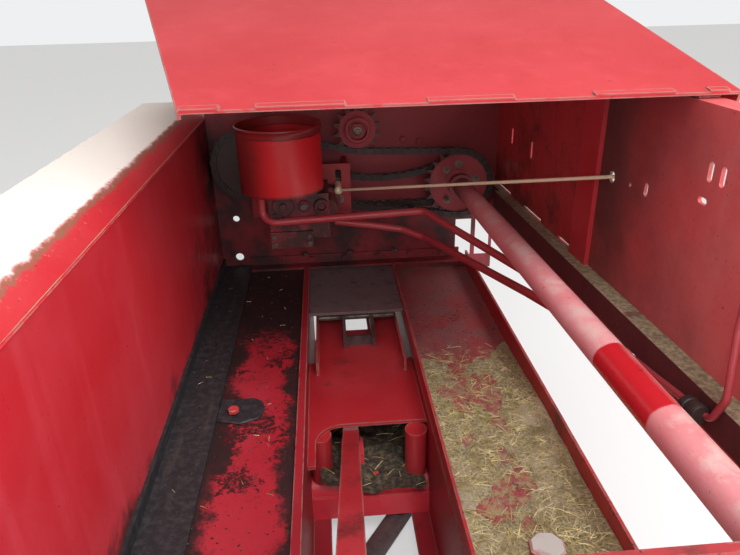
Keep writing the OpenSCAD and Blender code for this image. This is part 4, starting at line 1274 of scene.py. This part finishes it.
def set_floor(height):
    g, _ = new_material("Pale floor")
    diffuse = g.put("ShaderNodeBsdfDiffuse", {"Color": (0.8, 0.8, 0.8, 1)}).outputs[0]
    glow = g.put("ShaderNodeEmission", {"Color": (0.9, 0.9, 0.9, 1), "Strength": 1.0}).outputs[0]
    seen = g.put("ShaderNodeLightPath").outputs["Is Camera Ray"]
    mixed = g.put("ShaderNodeMixShader", {0: g.times(seen, 0.45), 1: diffuse, 2: glow}).outputs[0]
    g.put("ShaderNodeOutputMaterial", {"Surface": mixed})
    mesh = bpy.data.meshes.new("stage_floor")
    far = 12.0
    mesh.from_pydata([(-far, -far, height), (far, -far, height), (far, far, height), (-far, far, height)], [],
                     [(0, 1, 2, 3)])
    mesh.materials.append(Made.finishes["Pale floor"])
    floor = add_object("stage_floor", mesh)


def set_light(strength):
    """Even light from all sides with a pale background, and four soft lamps."""
    scene = bpy.context.scene
    world = bpy.data.worlds.new("Even light")
    scene.world = world
    world.use_nodes = True
    world.node_tree.nodes.clear()
    g = Graph(world.node_tree)
    seen = g.put("ShaderNodeLightPath").outputs["Is Camera Ray"]
    light = g.put("ShaderNodeBackground", {"Color": (1.0, 0.98, 0.96, 1), "Strength": strength}).outputs[0]
    back = g.put("ShaderNodeBackground", {"Color": (0.86, 0.87, 0.88, 1), "Strength": 1.0}).outputs[0]
    mixed = g.put("ShaderNodeMixShader", {0: seen, 1: light, 2: back}).outputs[0]
    g.put("ShaderNodeOutputWorld", {"Surface": mixed})
    for name, (place, size, power) in LAMPS.items():
        data = bpy.data.lights.new(name, "AREA")
        data.size, data.energy = size, power
        lamp = add_object(name, data)
        lamp.location = place
        lamp.rotation_euler = (AIM - Vector(place)).to_track_quat("-Z", "Y").to_euler()
    scene.view_settings.view_transform = "Standard"


SETTINGS = {"drivebay_finish": DRIVEBAY_finish_settings, "drivebay_hay": DRIVEBAY_hay_settings,
            "drivebay_bolts": DRIVEBAY_bolt_settings, "drivebay_stage": DRIVEBAY_stage_settings}
STEPS = [DRIVEBAY_OT_stage, DRIVEBAY_OT_finishes, DRIVEBAY_OT_sheets, DRIVEBAY_OT_chains, DRIVEBAY_OT_lines,
         DRIVEBAY_OT_bolts, DRIVEBAY_OT_fittings, DRIVEBAY_OT_hay]


def register():
    for group in (*SETTINGS.values(), *STEPS, DRIVEBAY_PT_panel):
        bpy.utils.register_class(group)
    for name, group in SETTINGS.items():
        setattr(bpy.types.Scene, name, bpy.props.PointerProperty(type=group))


def unregister():
    for name in SETTINGS:
        delattr(bpy.types.Scene, name)
    for group in reversed((*SETTINGS.values(), *STEPS, DRIVEBAY_PT_panel)):
        bpy.utils.unregister_class(group)


def main():
    register()
    bpy.ops.drivebay.stage()
    bpy.ops.drivebay.finishes()
    bpy.ops.drivebay.sheets()
    bpy.ops.drivebay.chains()
    bpy.ops.drivebay.lines()
    bpy.ops.drivebay.bolts()
    bpy.ops.drivebay.fittings()
    bpy.ops.drivebay.hay()


if __name__ == "__main__":
    main()
